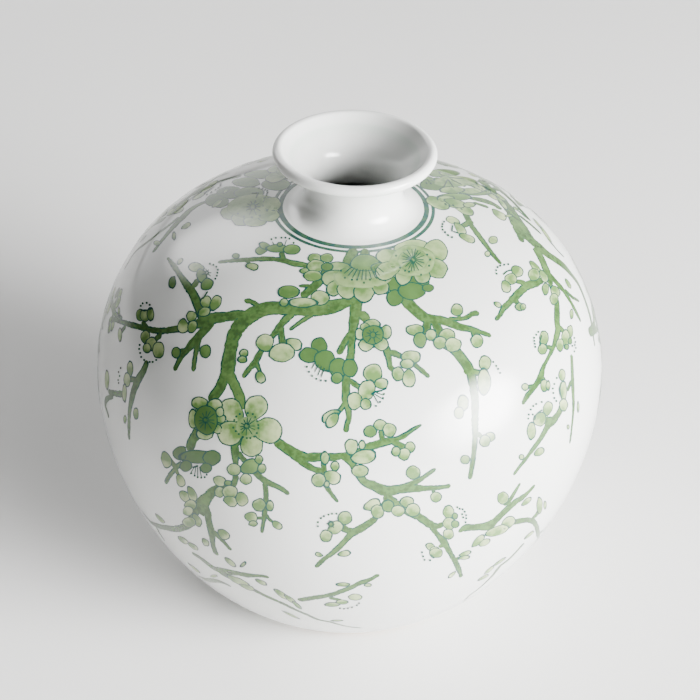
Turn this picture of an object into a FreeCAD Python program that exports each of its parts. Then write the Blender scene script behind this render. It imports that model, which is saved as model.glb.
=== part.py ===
import FreeCAD, Part
import math
import os

import Sketcher

# Globular porcelain vase with a short neck and a flared mouth.
# It is made as a potter makes it: a thrown lower bowl and a thrown upper
# bowl luted together at the widest line, a neck and mouth luted onto the
# shoulder, and a foot ring left bare of glaze.
# +Z is up, and the origin is the centre of the foot where the vase stands.
# Every piece is turned, so each is one half section revolved about +Z.

# Driving dimensions in millimetres
SIZES = {
    "body_diameter": 255.0,
    # walls
    "body_wall": 5.0,
    "floor_thickness": 6.0,
    "floor_corner_radius": 22.0,
    # the hollow line between the shoulder and the neck
    "collar_radius": 9.5,
    # the neck and the flared mouth
    "neck_diameter": 47.0,
    "neck_wall": 4.5,
    "flare_radius": 19.0,
    "throat_radius": 16.0,
    "rim_roll_diameter": 5.3,
    # the foot, set in a little from the line of the glazed body
    "foot_setback": 1.3,
    "foot_width": 6.0,
    "foot_height": 3.0,
    "foot_edge_radius": 1.2,
    "recess_depth": 8.0,
    "recess_corner_radius": 2.0,
}

# The radii of the body's outer line, each as a share of the body's diameter
SHARES = {
    "side_share": 0.3851,
    "turn_share": 0.2769,
    "crown_share": 0.6494,
    "belly_share": 0.6306,
    "heel_share": 0.4741,
}

# How far round its centre each of those arcs reaches above or below level, in degrees
ANGLES = {
    "side_angle": 31.56,
    "turn_angle": 64.75,
    "belly_angle": 40.44,
    "heel_angle": 49.35,
    "flare_angle": 65.3,
    "roll_angle": 66.9,
}

# Places that follow from the values above
FORMULAS = {
    "body_radius": "body_diameter / 2",
    "side_radius": "side_share * body_diameter",
    "turn_radius": "turn_share * body_diameter",
    "crown_radius": "crown_share * body_diameter",
    "belly_radius": "belly_share * body_diameter",
    "heel_radius": "heel_share * body_diameter",
    # the lower line, from the foot up to the widest line
    "belly_fall": "belly_radius * sin(belly_angle)",
    "heel_centre_fall": "(belly_radius - heel_radius) * sin(belly_angle)",
    "heel_fall": "heel_centre_fall + heel_radius * sin(heel_angle)",
    "widest_height": "foot_height + heel_fall",
    "belly_end_height": "widest_height - belly_fall",
    "heel_centre_across": "body_radius - belly_radius + (belly_radius - heel_radius) * cos(belly_angle)",
    "heel_end_radius": "heel_centre_across + heel_radius * cos(heel_angle)",
    # the upper line, from the widest line to the foot of the neck
    "side_end_height": "widest_height + side_radius * sin(side_angle)",
    "turn_centre_across": "body_radius - side_radius + (side_radius - turn_radius) * cos(side_angle)",
    "turn_centre_height": "widest_height + (side_radius - turn_radius) * sin(side_angle)",
    "turn_end_height": "turn_centre_height + turn_radius * sin(turn_angle)",
    "crown_centre_across": "turn_centre_across + (turn_radius - crown_radius) * cos(turn_angle)",
    "crown_centre_height": "turn_centre_height + (turn_radius - crown_radius) * sin(turn_angle)",
    "neck_radius": "neck_diameter / 2",
    "collar_across": "neck_radius + collar_radius - crown_centre_across",
    "collar_rise": "sqrt((crown_radius + collar_radius) ^ 2 - collar_across ^ 2)",
    "neck_height": "crown_centre_height + collar_rise",
    # the same line inside the wall
    "side_inner_height": "widest_height + (side_radius - body_wall) * sin(side_angle)",
    "turn_inner_height": "turn_centre_height + (turn_radius - body_wall) * sin(turn_angle)",
    "throat_inner_radius": "neck_radius - neck_wall",
    # the flare and the roll of the rim
    "roll_radius": "rim_roll_diameter / 2",
    "flare_end_across": "neck_radius + flare_radius * (1 - cos(flare_angle))",
    "flare_end_height": "neck_height + flare_radius * sin(flare_angle)",
    "roll_across": "flare_end_across + roll_radius * cos(roll_angle)",
    "roll_height": "flare_end_height + roll_radius * sin(roll_angle)",
    # the foot ring
    "foot_radius": "heel_end_radius - foot_setback",
    "foot_inner_radius": "foot_radius - foot_width",
    "floor_height": "recess_depth + floor_thickness",
}

SHEET = "sizes"
FULL_TURN = 360.0


def cell(alias):
    """The sheet's cell of this name, as a sketch's expression says it."""
    return f"{SHEET}.{alias}"


def polar(centre, radius, angle):
    """The point at this angle on a circle."""
    return (centre[0] + radius * math.cos(angle), centre[1] + radius * math.sin(angle))


class HalfSection:
    """A closed outline of lines and arcs, radius along X and height along Y.

    Element number i runs from corner i to corner i + 1. The corners are given
    near their places, and the bound dimensions then hold them exactly.
    """

    def __init__(self, body, name, elements, smooth):
        self.sketch = body.newObject("Sketcher::SketchObject", name)
        plane = next(item for item in body.Origin.OriginFeatures if item.Role == "XZ_Plane")
        self.sketch.AttachmentSupport = (plane, [""])
        self.sketch.MapMode = "FlatFace"
        self.first_end = []
        self.second_end = []
        for element in elements:
            self.draw(*element)
        count = len(elements)
        for corner in range(count):
            before = corner - 1 if corner else count - 1
            kind = "Tangent" if corner in smooth else "Coincident"
            ends = (before, self.second_end[before], corner, self.first_end[corner])
            self.sketch.addConstraint(Sketcher.Constraint(kind, *ends))

    def draw(self, first, second, centre=None):
        """One line, or one arc where a centre is given."""
        if centre is None:
            start = FreeCAD.Vector(first[0], first[1], 0)
            stop = FreeCAD.Vector(second[0], second[1], 0)
            self.sketch.addGeometry(Part.LineSegment(start, stop), False)
            self.first_end.append(1)
            self.second_end.append(2)
            return
        from_angle = math.atan2(first[1] - centre[1], first[0] - centre[0])
        to_angle = math.atan2(second[1] - centre[1], second[0] - centre[0])
        turn = (to_angle - from_angle + math.pi) % (2 * math.pi) - math.pi
        low = from_angle if turn > 0 else to_angle
        middle = FreeCAD.Vector(centre[0], centre[1], 0)
        radius = math.dist(first, centre)
        circle = Part.Circle(middle, FreeCAD.Vector(0, 0, 1), radius)
        self.sketch.addGeometry(Part.ArcOfCircle(circle, low, low + abs(turn)), False)
        self.first_end.append(1 if turn > 0 else 2)
        self.second_end.append(2 if turn > 0 else 1)

    def bind(self, constraint, expression):
        """Add a dimension and tie it to the sheet."""
        number = self.sketch.addConstraint(constraint)
        self.sketch.setExpression(f"Constraints[{number}]", expression)

    def radius(self, element, expression):
        now = self.sketch.Geometry[element].Radius
        self.bind(Sketcher.Constraint("Radius", element, now), expression)

    def place(self, element, end, across=None, up=None):
        """Hold an end of an element, or its centre, by radius and height."""
        point = self.sketch.getPoint(element, end)
        if across == 0:
            self.sketch.addConstraint(Sketcher.Constraint("PointOnObject", element, end, -2))
        elif across is not None:
            distance = Sketcher.Constraint("DistanceX", -1, 1, element, end, point.x)
            self.bind(distance, across)
        if up is not None:
            distance = Sketcher.Constraint("DistanceY", -1, 1, element, end, point.y)
            self.bind(distance, up)

    def corner(self, number, across=None, up=None):
        self.place(number, self.first_end[number], across, up)

    def centre(self, element, across=None, up=None):
        self.place(element, 3, across, up)

    def level(self, *elements):
        for element in elements:
            self.sketch.addConstraint(Sketcher.Constraint("Horizontal", element))

    def upright(self, *elements):
        for element in elements:
            self.sketch.addConstraint(Sketcher.Constraint("Vertical", element))

    def turned(self, body):
        """Revolve the half section about the vase's axis."""
        solid = body.newObject("PartDesign::Revolution", self.sketch.Name + "_turned")
        solid.Profile = self.sketch
        solid.ReferenceAxis = (self.sketch, ["V_Axis"])
        solid.Angle = FULL_TURN
        return solid


def make_sheet(document):
    """The driving values and what follows from them, one row each."""
    sheet = document.addObject("Spreadsheet::Sheet", SHEET)
    driving = {**SIZES, **SHARES, **ANGLES}
    rows = [(alias, str(value)) for alias, value in driving.items()]
    rows += [(alias, f"={formula}") for alias, formula in FORMULAS.items()]
    for row, (alias, content) in enumerate(rows, start=1):
        sheet.set(f"A{row}", alias.replace("_", " "))
        sheet.setAlias(f"B{row}", alias)
        sheet.set(f"B{row}", content)
    document.recompute()
    return sheet


def make_body(document, label):
    body = document.addObject("PartDesign::Body", label)
    body.Label = label
    body.Placement = FreeCAD.Placement()
    return body


def upper_line(size, inset, neck_radius):
    """Corners and centres of the body's line above its widest, this far inside the glaze.

    Three arcs that run into each other carry the line up to the shoulder's
    crown, and a hollow arc turns it upright at the foot of the neck.
    """
    side_angle = math.radians(size.side_angle)
    turn_angle = math.radians(size.turn_angle)
    side_centre = (size.body_radius - size.side_radius, size.widest_height)
    turn_centre = (size.turn_centre_across, size.turn_centre_height)
    crown_centre = (size.crown_centre_across, size.crown_centre_height)
    crown = size.crown_radius - inset
    across = neck_radius - crown_centre[0]
    up = size.neck_height - crown_centre[1]
    hollow = (across ** 2 + up ** 2 - crown ** 2) / (2 * (crown - across))
    meeting_angle = math.atan2(up, across + hollow)
    corners = [
        (size.body_radius - inset, size.widest_height),
        polar(side_centre, size.side_radius - inset, side_angle),
        polar(turn_centre, size.turn_radius - inset, turn_angle),
        polar(crown_centre, crown, meeting_angle),
        (neck_radius, size.neck_height),
    ]
    hollow_centre = (neck_radius + hollow, size.neck_height)
    return corners, [side_centre, turn_centre, crown_centre, hollow_centre]


def make_upper_body(document, size):
    """The upper bowl, from the widest line to the foot of the neck."""
    body = make_body(document, "upper_body")
    outer, centres = upper_line(size, 0, size.neck_radius)
    inner, inner_centres = upper_line(size, size.body_wall, size.throat_inner_radius)
    elements = [(outer[i], outer[i + 1], centres[i]) for i in range(4)]
    elements.append((outer[4], inner[4]))
    elements += [(inner[i + 1], inner[i], inner_centres[i]) for i in (3, 2, 1, 0)]
    elements.append((inner[0], outer[0]))
    section = HalfSection(body, "upper_section", elements, smooth=(1, 2, 3, 6, 7, 8))

    widest = cell("widest_height")
    wall = cell("body_wall")
    section.corner(0, cell("body_radius"), widest)
    section.centre(0, up=widest)
    section.radius(0, cell("side_radius"))
    section.corner(1, up=cell("side_end_height"))
    section.radius(1, cell("turn_radius"))
    section.corner(2, up=cell("turn_end_height"))
    section.radius(2, cell("crown_radius"))
    section.corner(4, cell("neck_radius"), cell("neck_height"))
    section.centre(3, up=cell("neck_height"))

    section.corner(5, cell("throat_inner_radius"), cell("neck_height"))
    section.centre(5, up=cell("neck_height"))
    section.radius(6, f"{cell('crown_radius')} - {wall}")
    section.corner(7, up=cell("turn_inner_height"))
    section.radius(7, f"{cell('turn_radius')} - {wall}")
    section.corner(8, up=cell("side_inner_height"))
    section.radius(8, f"{cell('side_radius')} - {wall}")
    section.centre(8, up=widest)
    section.corner(9, f"{cell('body_radius')} - {wall}", widest)
    section.turned(body)
    return body


def make_lower_body(document, size):
    """The lower bowl with its floor and the recess under it."""
    body = make_body(document, "lower_body")
    radius = size.body_radius
    widest = size.widest_height
    belly_centre = (radius - size.belly_radius, widest)
    heel_centre = (size.heel_centre_across, widest - size.heel_centre_fall)
    belly_end = polar(belly_centre, size.belly_radius, -math.radians(size.belly_angle))
    heel_end = (size.heel_end_radius, size.foot_height)
    foot_inner = size.foot_inner_radius
    recess = size.recess_depth
    bend = size.recess_corner_radius
    floor = size.floor_height
    corner = size.floor_corner_radius
    inner = size.belly_radius - size.body_wall
    corner_height = floor + corner
    reach = math.sqrt((inner - corner) ** 2 - (widest - corner_height) ** 2)
    corner_centre = (belly_centre[0] + reach, corner_height)
    corner_end = polar(belly_centre, inner, math.atan2(corner_height - widest, reach))
    elements = [
        ((radius, widest), belly_end, belly_centre),
        (belly_end, heel_end, heel_centre),
        (heel_end, (foot_inner, size.foot_height)),
        ((foot_inner, size.foot_height), (foot_inner, recess - bend)),
        ((foot_inner, recess - bend), (foot_inner - bend, recess), (foot_inner - bend, recess - bend)),
        ((foot_inner - bend, recess), (0, recess)),
        ((0, recess), (0, floor)),
        ((0, floor), (corner_centre[0], floor)),
        ((corner_centre[0], floor), corner_end, corner_centre),
        (corner_end, (radius - size.body_wall, widest), belly_centre),
        ((radius - size.body_wall, widest), (radius, widest)),
    ]
    section = HalfSection(body, "lower_section", elements, smooth=(1, 4, 5, 8, 9))

    section.corner(0, cell("body_radius"), cell("widest_height"))
    section.centre(0, up=cell("widest_height"))
    section.radius(0, cell("belly_radius"))
    section.corner(1, up=cell("belly_end_height"))
    section.radius(1, cell("heel_radius"))
    section.corner(2, up=cell("foot_height"))
    section.corner(3, cell("foot_inner_radius"), cell("foot_height"))
    section.upright(3)
    section.radius(4, cell("recess_corner_radius"))
    section.level(5)
    section.corner(6, 0, cell("recess_depth"))
    section.corner(7, 0, cell("floor_height"))
    section.level(7)
    section.radius(8, cell("floor_corner_radius"))
    section.radius(9, f"{cell('belly_radius')} - {cell('body_wall')}")
    section.centre(9, up=cell("widest_height"))
    section.corner(10, f"{cell('body_radius')} - {cell('body_wall')}", cell("widest_height"))
    section.turned(body)
    return body


def make_foot_ring(document, size):
    """The turned foot that the glaze leaves bare, with both its edges eased."""
    body = make_body(document, "foot_ring")
    outer = size.foot_radius
    inner = size.foot_inner_radius
    top = size.foot_height
    edge = size.foot_edge_radius
    elements = [
        ((outer, top), (inner, top)),
        ((inner, top), (inner, edge)),
        ((inner, edge), (inner + edge, 0), (inner + edge, edge)),
        ((inner + edge, 0), (outer - edge, 0)),
        ((outer - edge, 0), (outer, edge), (outer - edge, edge)),
        ((outer, edge), (outer, top)),
    ]
    section = HalfSection(body, "foot_section", elements, smooth=(2, 3, 4, 5))
    section.corner(0, cell("foot_radius"), cell("foot_height"))
    section.corner(1, cell("foot_inner_radius"), cell("foot_height"))
    section.upright(1, 5)
    section.radius(2, cell("foot_edge_radius"))
    section.radius(4, cell("foot_edge_radius"))
    section.sketch.addConstraint(Sketcher.Constraint("PointOnObject", 3, 1, -1))
    section.level(3)
    section.turned(body)
    return body


def make_neck_and_mouth(document, size):
    """The neck, which flares into a mouth with a thick rolled rim.

    Outside, one hollow arc runs from the neck to the underside of the roll.
    Inside, a straight cone leaves the roll and turns upright at the throat.
    """
    body = make_body(document, "neck_and_mouth")
    neck = size.neck_radius
    throat = size.throat_inner_radius
    base = size.neck_height
    roll = size.roll_radius
    roll_centre = (size.roll_across, size.roll_height)
    flare_centre = (neck + size.flare_radius, base)
    flare_end = (size.flare_end_across, size.flare_end_height)
    bend = size.throat_radius
    bend_centre = (throat + bend, base)

    # the cone touches the roll and the throat's bend, both on its own upper side
    between = math.dist(bend_centre, roll_centre)
    lean = math.atan2(roll_centre[1] - base, roll_centre[0] - bend_centre[0])
    normal = lean + math.acos((bend - roll) / between)
    cone_top = polar(roll_centre, roll, normal)
    cone_foot = polar(bend_centre, bend, normal)

    # the roll is drawn in two arcs that meet at its widest, as one arc turns past half a circle
    roll_side = (roll_centre[0] + roll, roll_centre[1])
    elements = [
        ((neck, base), flare_end, flare_centre),
        (flare_end, roll_side, roll_centre),
        (roll_side, cone_top, roll_centre),
        (cone_top, cone_foot),
        (cone_foot, (throat, base), bend_centre),
        ((throat, base), (neck, base)),
    ]
    section = HalfSection(body, "neck_section", elements, smooth=(3, 4))
    section.corner(0, cell("neck_radius"), cell("neck_height"))
    section.centre(0, up=cell("neck_height"))
    section.radius(0, cell("flare_radius"))
    section.radius(1, cell("roll_radius"))
    for element in (1, 2):
        section.centre(element, cell("roll_across"), cell("roll_height"))
    section.corner(2, up=cell("roll_height"))
    section.radius(4, cell("throat_radius"))
    section.centre(4, up=cell("neck_height"))
    section.corner(5, cell("throat_inner_radius"), cell("neck_height"))
    section.turned(body)
    return body


def check(document, bodies):
    """Stop on any object that failed, before anything is written."""
    for item in document.Objects:
        if "Invalid" in item.State or "Error" in item.State:
            raise RuntimeError(f"{item.Name} did not build: {item.State}")
        if item.TypeId == "Sketcher::SketchObject" and not item.FullyConstrained:
            raise RuntimeError(f"{item.Name} isn't fully constrained")
    for body in bodies:
        if body.Shape.isNull() or not body.Shape.isValid():
            raise RuntimeError(f"{body.Label} has no valid shape")


def main():
    document = FreeCAD.newDocument("globular_vase")
    sheet = make_sheet(document)
    bodies = [
        make_lower_body(document, sheet),
        make_upper_body(document, sheet),
        make_neck_and_mouth(document, sheet),
        make_foot_ring(document, sheet),
    ]
    document.recompute()
    check(document, bodies)
    os.makedirs("parts", exist_ok=True)
    for body in bodies:
        body.Shape.exportStep(f"parts/{body.Label}.step")
        box = body.Shape.optimalBoundingBox(False)
        print(body.Label, round(body.Shape.Volume), "mm3, height", round(box.ZMin, 2), round(box.ZMax, 2))


main()
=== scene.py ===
import math
from functools import partialmethod

import bpy
import numpy as np
from bpy.props import FloatProperty, FloatVectorProperty, IntProperty, PointerProperty
from mathutils import Matrix, Vector


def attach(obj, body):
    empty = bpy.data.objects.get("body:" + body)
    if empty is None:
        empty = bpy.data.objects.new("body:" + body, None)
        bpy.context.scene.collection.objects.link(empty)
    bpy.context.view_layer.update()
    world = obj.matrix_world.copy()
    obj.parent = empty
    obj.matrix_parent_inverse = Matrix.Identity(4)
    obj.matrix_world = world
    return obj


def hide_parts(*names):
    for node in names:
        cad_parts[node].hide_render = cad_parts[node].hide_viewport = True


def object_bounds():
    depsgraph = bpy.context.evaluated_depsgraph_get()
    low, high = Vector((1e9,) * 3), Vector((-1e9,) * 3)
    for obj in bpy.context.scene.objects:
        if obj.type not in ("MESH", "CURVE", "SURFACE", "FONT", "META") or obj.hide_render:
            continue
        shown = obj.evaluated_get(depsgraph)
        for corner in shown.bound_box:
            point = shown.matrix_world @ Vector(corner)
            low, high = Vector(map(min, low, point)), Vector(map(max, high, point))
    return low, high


bl_info = {
    "name": "Globular porcelain vase",
    "version": (1, 0, 0),
    "blender": (4, 5, 0),
    "location": "3D View > Sidebar > Vase",
    "description": "Glazed globular vase painted with plum blossom under the glaze",
    "category": "Object",
}

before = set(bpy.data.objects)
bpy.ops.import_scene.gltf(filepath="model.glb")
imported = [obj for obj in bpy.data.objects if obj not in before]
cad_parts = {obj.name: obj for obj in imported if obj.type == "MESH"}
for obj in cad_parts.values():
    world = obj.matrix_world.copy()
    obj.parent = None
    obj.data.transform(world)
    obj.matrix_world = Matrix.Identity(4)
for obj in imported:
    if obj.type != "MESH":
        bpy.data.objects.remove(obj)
cad_low, cad_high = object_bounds()

MM = 0.001
ALMOST_NOTHING = 1e-9

# How far apart two points of a turned form may be and still be made one, in metres
MERGE_REACH = 0.000002

# The radii of the body's outer line, each as a share of the body's diameter
RADIUS_SHARES = {"side": 0.3851, "turn": 0.2769, "crown": 0.6494, "belly": 0.6306, "heel": 0.4741}

# How far round its centre each arc of that line reaches, in degrees
ARC_ANGLES = {"side": 31.56, "turn": 64.75, "belly": 40.44, "heel": 49.35, "flare": 65.3, "roll": 66.9}


# Values that a user would change


def length(name, about, millimetres):
    size = millimetres * MM
    return FloatProperty(name=name, description=about, default=size, unit="LENGTH", precision=5)


def ratio(name, about, default):
    return FloatProperty(name=name, description=about, default=default, subtype="FACTOR", soft_max=2.0)


def tilt(name, about, radians):
    return FloatProperty(name=name, description=about, default=radians, subtype="ANGLE", unit="ROTATION")


def tint(name, about, red, green, blue):
    return FloatVectorProperty(
        name=name, description=about, default=(red, green, blue), subtype="COLOR", size=3, min=0, max=1
    )


class VaseForm(bpy.types.PropertyGroup):
    body_diameter: FloatProperty(
        name="Body diameter",
        description="Width of the body at its widest line",
        default=cad_high.x - cad_low.x,
        unit="LENGTH",
    )
    wall: length("Wall", "Thickness of the thrown wall", 5.0)
    floor_thickness: length("Floor thickness", "Thickness of the floor over the recess", 6.0)
    floor_corner: length("Floor corner", "Radius between the floor and the wall inside", 22.0)
    collar_radius: length("Collar radius", "Hollow line between the shoulder and the neck", 9.5)
    neck_diameter: length("Neck diameter", "Width of the neck at its narrowest", 47.0)
    neck_wall: length("Neck wall", "Thickness of the neck at its narrowest", 4.5)
    flare_radius: length("Flare radius", "Hollow line from the neck to the rim", 19.0)
    throat_radius: length("Throat radius", "Rounding inside where the cone becomes the throat", 16.0)
    roll_diameter: length("Roll diameter", "Thickness of the rolled rim", 5.3)
    roll_inset: length("Roll inset", "How far the glaze stays within the measured rolled rim", 0.01)
    foot_setback: length("Foot setback", "How far the bare foot stands in from the glaze", 1.3)
    foot_width: length("Foot width", "Width of the bare ring that the vase stands on", 6.0)
    foot_height: length("Foot height", "Height of the bare ring", 3.0)
    foot_edge: length("Foot edge", "Rounding of the bare ring's edges", 1.2)
    recess_depth: length("Recess depth", "Depth of the hollow under the base", 8.0)
    recess_corner: length("Recess corner", "Rounding in the hollow under the base", 2.0)
    glaze_inset: length("Glaze inset", "How far the white glaze lies under the top of the paint", 0.3)
    facets_round: IntProperty(
        name="Facets round", description="Facets in one turn", default=192, min=24, subtype="UNSIGNED"
    )


class VasePaint(bpy.types.PropertyGroup):
    lowest_layer: length("Lowest layer", "Height of the lowest paint over the white", 0.045)
    layer_step: length("Layer step", "Height of one layer of paint over the one before", 0.0075)
    sink: length("Sink", "How deep the underside of the paint lies in the white", 0.02)
    outline_width: length("Outline width", "Dark edge of a painted branch", 0.50)
    outer_ring: length("Outer ring", "Radius of the thin ring round the neck", 37.9)
    outer_ring_width: length("Outer ring width", "Width of the thin ring", 1.7)
    inner_ring: length("Inner ring", "Radius of the thick ring round the neck", 34.7)
    inner_ring_width: length("Inner ring width", "Width of the thick ring", 2.5)
    petal_growth: ratio("Petal growth", "Size of the petals and buds over their readings", 1.1)
    wobble: ratio("Wobble", "Unevenness of the brush, as a share of the width", 0.22)


class VaseColours(bpy.types.PropertyGroup):
    white: tint("White", "Porcelain under clear glaze", 0.68, 0.69, 0.67)
    # Grey-green tint: painted shade and pooled glaze under the rolled rim, and a darker tint just above the
    # foot
    grey_green_tint: tint("Pooled", "Where the glaze has gathered and is thicker", 0.50, 0.58, 0.52)
    bare: tint("Bare", "Fired body without glaze", 0.52, 0.38, 0.26)
    line: tint("Line", "Dark blue-green of rings, outlines and stamens", 0.008, 0.050, 0.043)
    leaf_dark: tint("Dark green", "Heaviest wash of green", 0.028, 0.060, 0.019)
    leaf: tint("Green", "Full wash of green", 0.062, 0.132, 0.036)
    leaf_light: tint("Light green", "Thin wash of green", 0.125, 0.215, 0.065)
    cream: tint("Cream", "Palest wash, on the tips of petals", 0.370, 0.435, 0.225)
    floor: tint("Floor", "Plain pale ground", 0.82, 0.815, 0.80)


class VaseView(bpy.types.PropertyGroup):
    distance: length("Camera distance", "From the axis of the vase, level", 629.6)
    height: length("Camera height", "Above the table", 598.5)
    pitch: tilt("Pitch", "Downward tilt", 0.6414)
    roll: tilt("Roll", "Lean of the camera", 0.0245)
    lens: FloatProperty(
        name="Lens", description="Focal length on the sensor, in millimetres", default=79.71, unit="CAMERA"
    )
    sensor: FloatProperty(
        name="Sensor", description="Width of the sensor, in millimetres", default=36.0, unit="CAMERA"
    )


# Node graphs


class Value:
    """One number in a node graph, on which sums can be written."""

    def __init__(self, graph, socket):
        self.graph = graph
        self.socket = socket

    def math(self, operation, *others, clamp=False):
        """A Math node's result, with this number as its first."""
        return self.graph.math(operation, self, *others, clamp=clamp)

    def after(self, operation, other):
        """A Math node's result, with this number as its second."""
        return self.graph.math(operation, other, self)

    __add__ = partialmethod(math, "ADD")
    __radd__ = partialmethod(after, "ADD")
    __sub__ = partialmethod(math, "SUBTRACT")
    __rsub__ = partialmethod(after, "SUBTRACT")
    __mul__ = partialmethod(math, "MULTIPLY")
    __rmul__ = partialmethod(after, "MULTIPLY")
    __truediv__ = partialmethod(math, "DIVIDE")
    __rtruediv__ = partialmethod(after, "DIVIDE")
    __pow__ = partialmethod(math, "POWER")
    root = partialmethod(math, "SQRT")
    sine = partialmethod(math, "SINE")
    cosine = partialmethod(math, "COSINE")
    rounded = partialmethod(math, "ROUND")
    least = partialmethod(math, "MINIMUM")
    most = partialmethod(math, "MAXIMUM")
    held = partialmethod(math, "ADD", 0.0, clamp=True)

    def rise(self, low, high):
        """0 below low, 1 above high, and smooth between."""
        sockets = {"Value": self, "From Min": low, "From Max": high}
        return self.graph.value("ShaderNodeMapRange", sockets, interpolation_type="SMOOTHSTEP")


class Graph:
    """A node tree that is written as calls."""

    def __init__(self, tree):
        self.tree = tree

    def add(self, kind, sockets=None, **settings):
        """A node of this kind: its settings are made first, then its sockets' values and links."""
        node = self.tree.nodes.new(kind)
        for name, value in settings.items():
            setattr(node, name, value)
        for name, value in (sockets or {}).items():
            socket = node.inputs[name]
            value = value.socket if isinstance(value, Value) else value
            if isinstance(value, bpy.types.NodeSocket):
                self.tree.links.new(value, socket)
            else:
                socket.default_value = value
        return node

    def out(self, kind, sockets=None, **settings):
        return self.add(kind, sockets, **settings).outputs[0]

    def value(self, kind, sockets=None, **settings):
        return Value(self, self.out(kind, sockets, **settings))

    def math(self, operation, *numbers, clamp=False):
        sockets = dict(enumerate(numbers))
        return self.value("ShaderNodeMath", sockets, operation=operation, use_clamp=clamp)

    def parts(self, vector):
        """A vector's three numbers."""
        node = self.add("ShaderNodeSeparateXYZ", {0: vector})
        return [Value(self, socket) for socket in node.outputs]

    def joined(self, x, y, z=0.0):
        """A vector of three numbers."""
        return self.out("ShaderNodeCombineXYZ", {0: x, 1: y, 2: z})

    def vector(self, operation, first, second=None, scale=None):
        given = {0: first, 1: second, "Scale": scale}
        sockets = {name: value for name, value in given.items() if value is not None}
        node = self.add("ShaderNodeVectorMath", sockets, operation=operation)
        numbers = operation in ("LENGTH", "DOT_PRODUCT")
        return Value(self, node.outputs["Value"]) if numbers else node.outputs["Vector"]

    def mix(self, share, first, second):
        """From the first colour to the second."""
        sockets = {0: share}
        for number, item in ((6, first), (7, second)):
            sockets[number] = item if isinstance(item, bpy.types.NodeSocket) else (*item, 1.0)
        return self.add("ShaderNodeMix", sockets, data_type="RGBA", clamp_factor=True).outputs[2]


class FormTree(Graph):
    """A Geometry Nodes tree with named inputs, put on an object and turned into a plain mesh."""

    def __init__(self, name, inputs):
        super().__init__(bpy.data.node_groups.new(name, "GeometryNodeTree"))
        face = self.tree.interface
        face.new_socket("Geometry", in_out="INPUT", socket_type="NodeSocketGeometry")
        for label, kind in inputs.items():
            face.new_socket(label, in_out="INPUT", socket_type=kind)
        face.new_socket("Geometry", in_out="OUTPUT", socket_type="NodeSocketGeometry")
        self.given = self.add("NodeGroupInput").outputs
        self.result = self.add("NodeGroupOutput")

    def attribute(self, name, data_type="FLOAT"):
        node = self.add("GeometryNodeInputNamedAttribute", {"Name": name}, data_type=data_type)
        return Value(self, node.outputs[0]) if data_type == "FLOAT" else node.outputs[0]

    def place(self):
        return self.out("GeometryNodeInputPosition")

    def keep(self, geometry, name, value, data_type="FLOAT"):
        sockets = {"Geometry": geometry, "Name": name, "Value": value}
        return self.out("GeometryNodeStoreNamedAttribute", sockets, data_type=data_type, domain="POINT")

    def move(self, geometry, position):
        return self.out("GeometryNodeSetPosition", {"Geometry": geometry, "Position": position})

    def noise(self, scale, detail=2.0):
        return self.value("ShaderNodeTexNoise", {"Scale": scale, "Detail": detail})

    def ground(self, ground):
        """The glazed surface's point and true normal nearest to each point."""
        shape = self.add("GeometryNodeObjectInfo", {"Object": ground}).outputs["Geometry"]
        found = []
        for value in (self.place(), self.attribute("true_normal", "FLOAT_VECTOR")):
            sockets = {"Mesh": shape, "Value": value}
            found.append(self.out("GeometryNodeSampleNearestSurface", sockets, data_type="FLOAT_VECTOR"))
        return found[0], self.vector("NORMALIZE", found[1])

    def given_value(self, name):
        return Value(self, self.given[name])

    def laid_on_ground(self, sheet):
        """Drop the sheet on to the ground, raise it by its lift and face it outward."""
        near, facing = self.ground(self.given["Ground"])
        raised = self.vector("SCALE", facing, scale=self.attribute("lift"))
        sheet = self.move(sheet, self.vector("ADD", near, raised))
        own = self.out("GeometryNodeInputNormal")
        _, facing = self.ground(self.given["Ground"])
        wrong = self.vector("DOT_PRODUCT", own, facing)
        sockets = {"A": wrong, "B": 0.0}
        away = self.out("FunctionNodeCompare", sockets, data_type="FLOAT", operation="LESS_THAN")
        return self.out("GeometryNodeFlipFaces", {"Mesh": sheet, "Selection": away})

    def finish(self, geometry):
        """The closing nodes: instances made real, and the material set."""
        real = self.out("GeometryNodeRealizeInstances", {"Geometry": geometry})
        sockets = {"Geometry": real, "Material": self.given["Material"]}
        self.tree.links.new(self.out("GeometryNodeSetMaterial", sockets), self.result.inputs["Geometry"])

    def make(self, source, name, solid=0.0, **values):
        """Evaluate the tree on the source object and keep the result as a mesh object."""
        modifier = source.modifiers.new(name, "NODES")
        modifier.node_group = self.tree
        for item in self.tree.interface.items_tree:
            label = item.name.replace(" ", "_").lower()
            if item.in_out == "INPUT" and label in values:
                modifier[item.identifier] = values[label]
        if solid:
            closed = source.modifiers.new("closed", "SOLIDIFY")
            closed.thickness = solid
            closed.offset = -1.0
        evaluated = source.evaluated_get(bpy.context.evaluated_depsgraph_get())
        mesh = bpy.data.meshes.new_from_object(evaluated)
        mesh.name = name
        source.modifiers.clear()
        bpy.data.objects.remove(source)
        return placed(name, mesh)


def placed(name, data):
    """A new object in the scene."""
    made = bpy.data.objects.new(name, data)
    bpy.context.scene.collection.objects.link(made)
    return made


def read(items, name, width=1, kind=float):
    """One property of all of a mesh's vertices, corners or faces, as an array."""
    values = np.empty(len(items) * width, dtype=kind)
    items.foreach_get(name, values)
    return values.reshape(-1, width) if width > 1 else values


def unit(vectors):
    """Each row made one long."""
    return vectors / np.maximum(np.linalg.norm(vectors, axis=-1, keepdims=True), ALMOST_NOTHING)


def radius_and_height(spots):
    return np.stack((np.hypot(spots[:, 0], spots[:, 1]), spots[:, 2]), axis=1)


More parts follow.
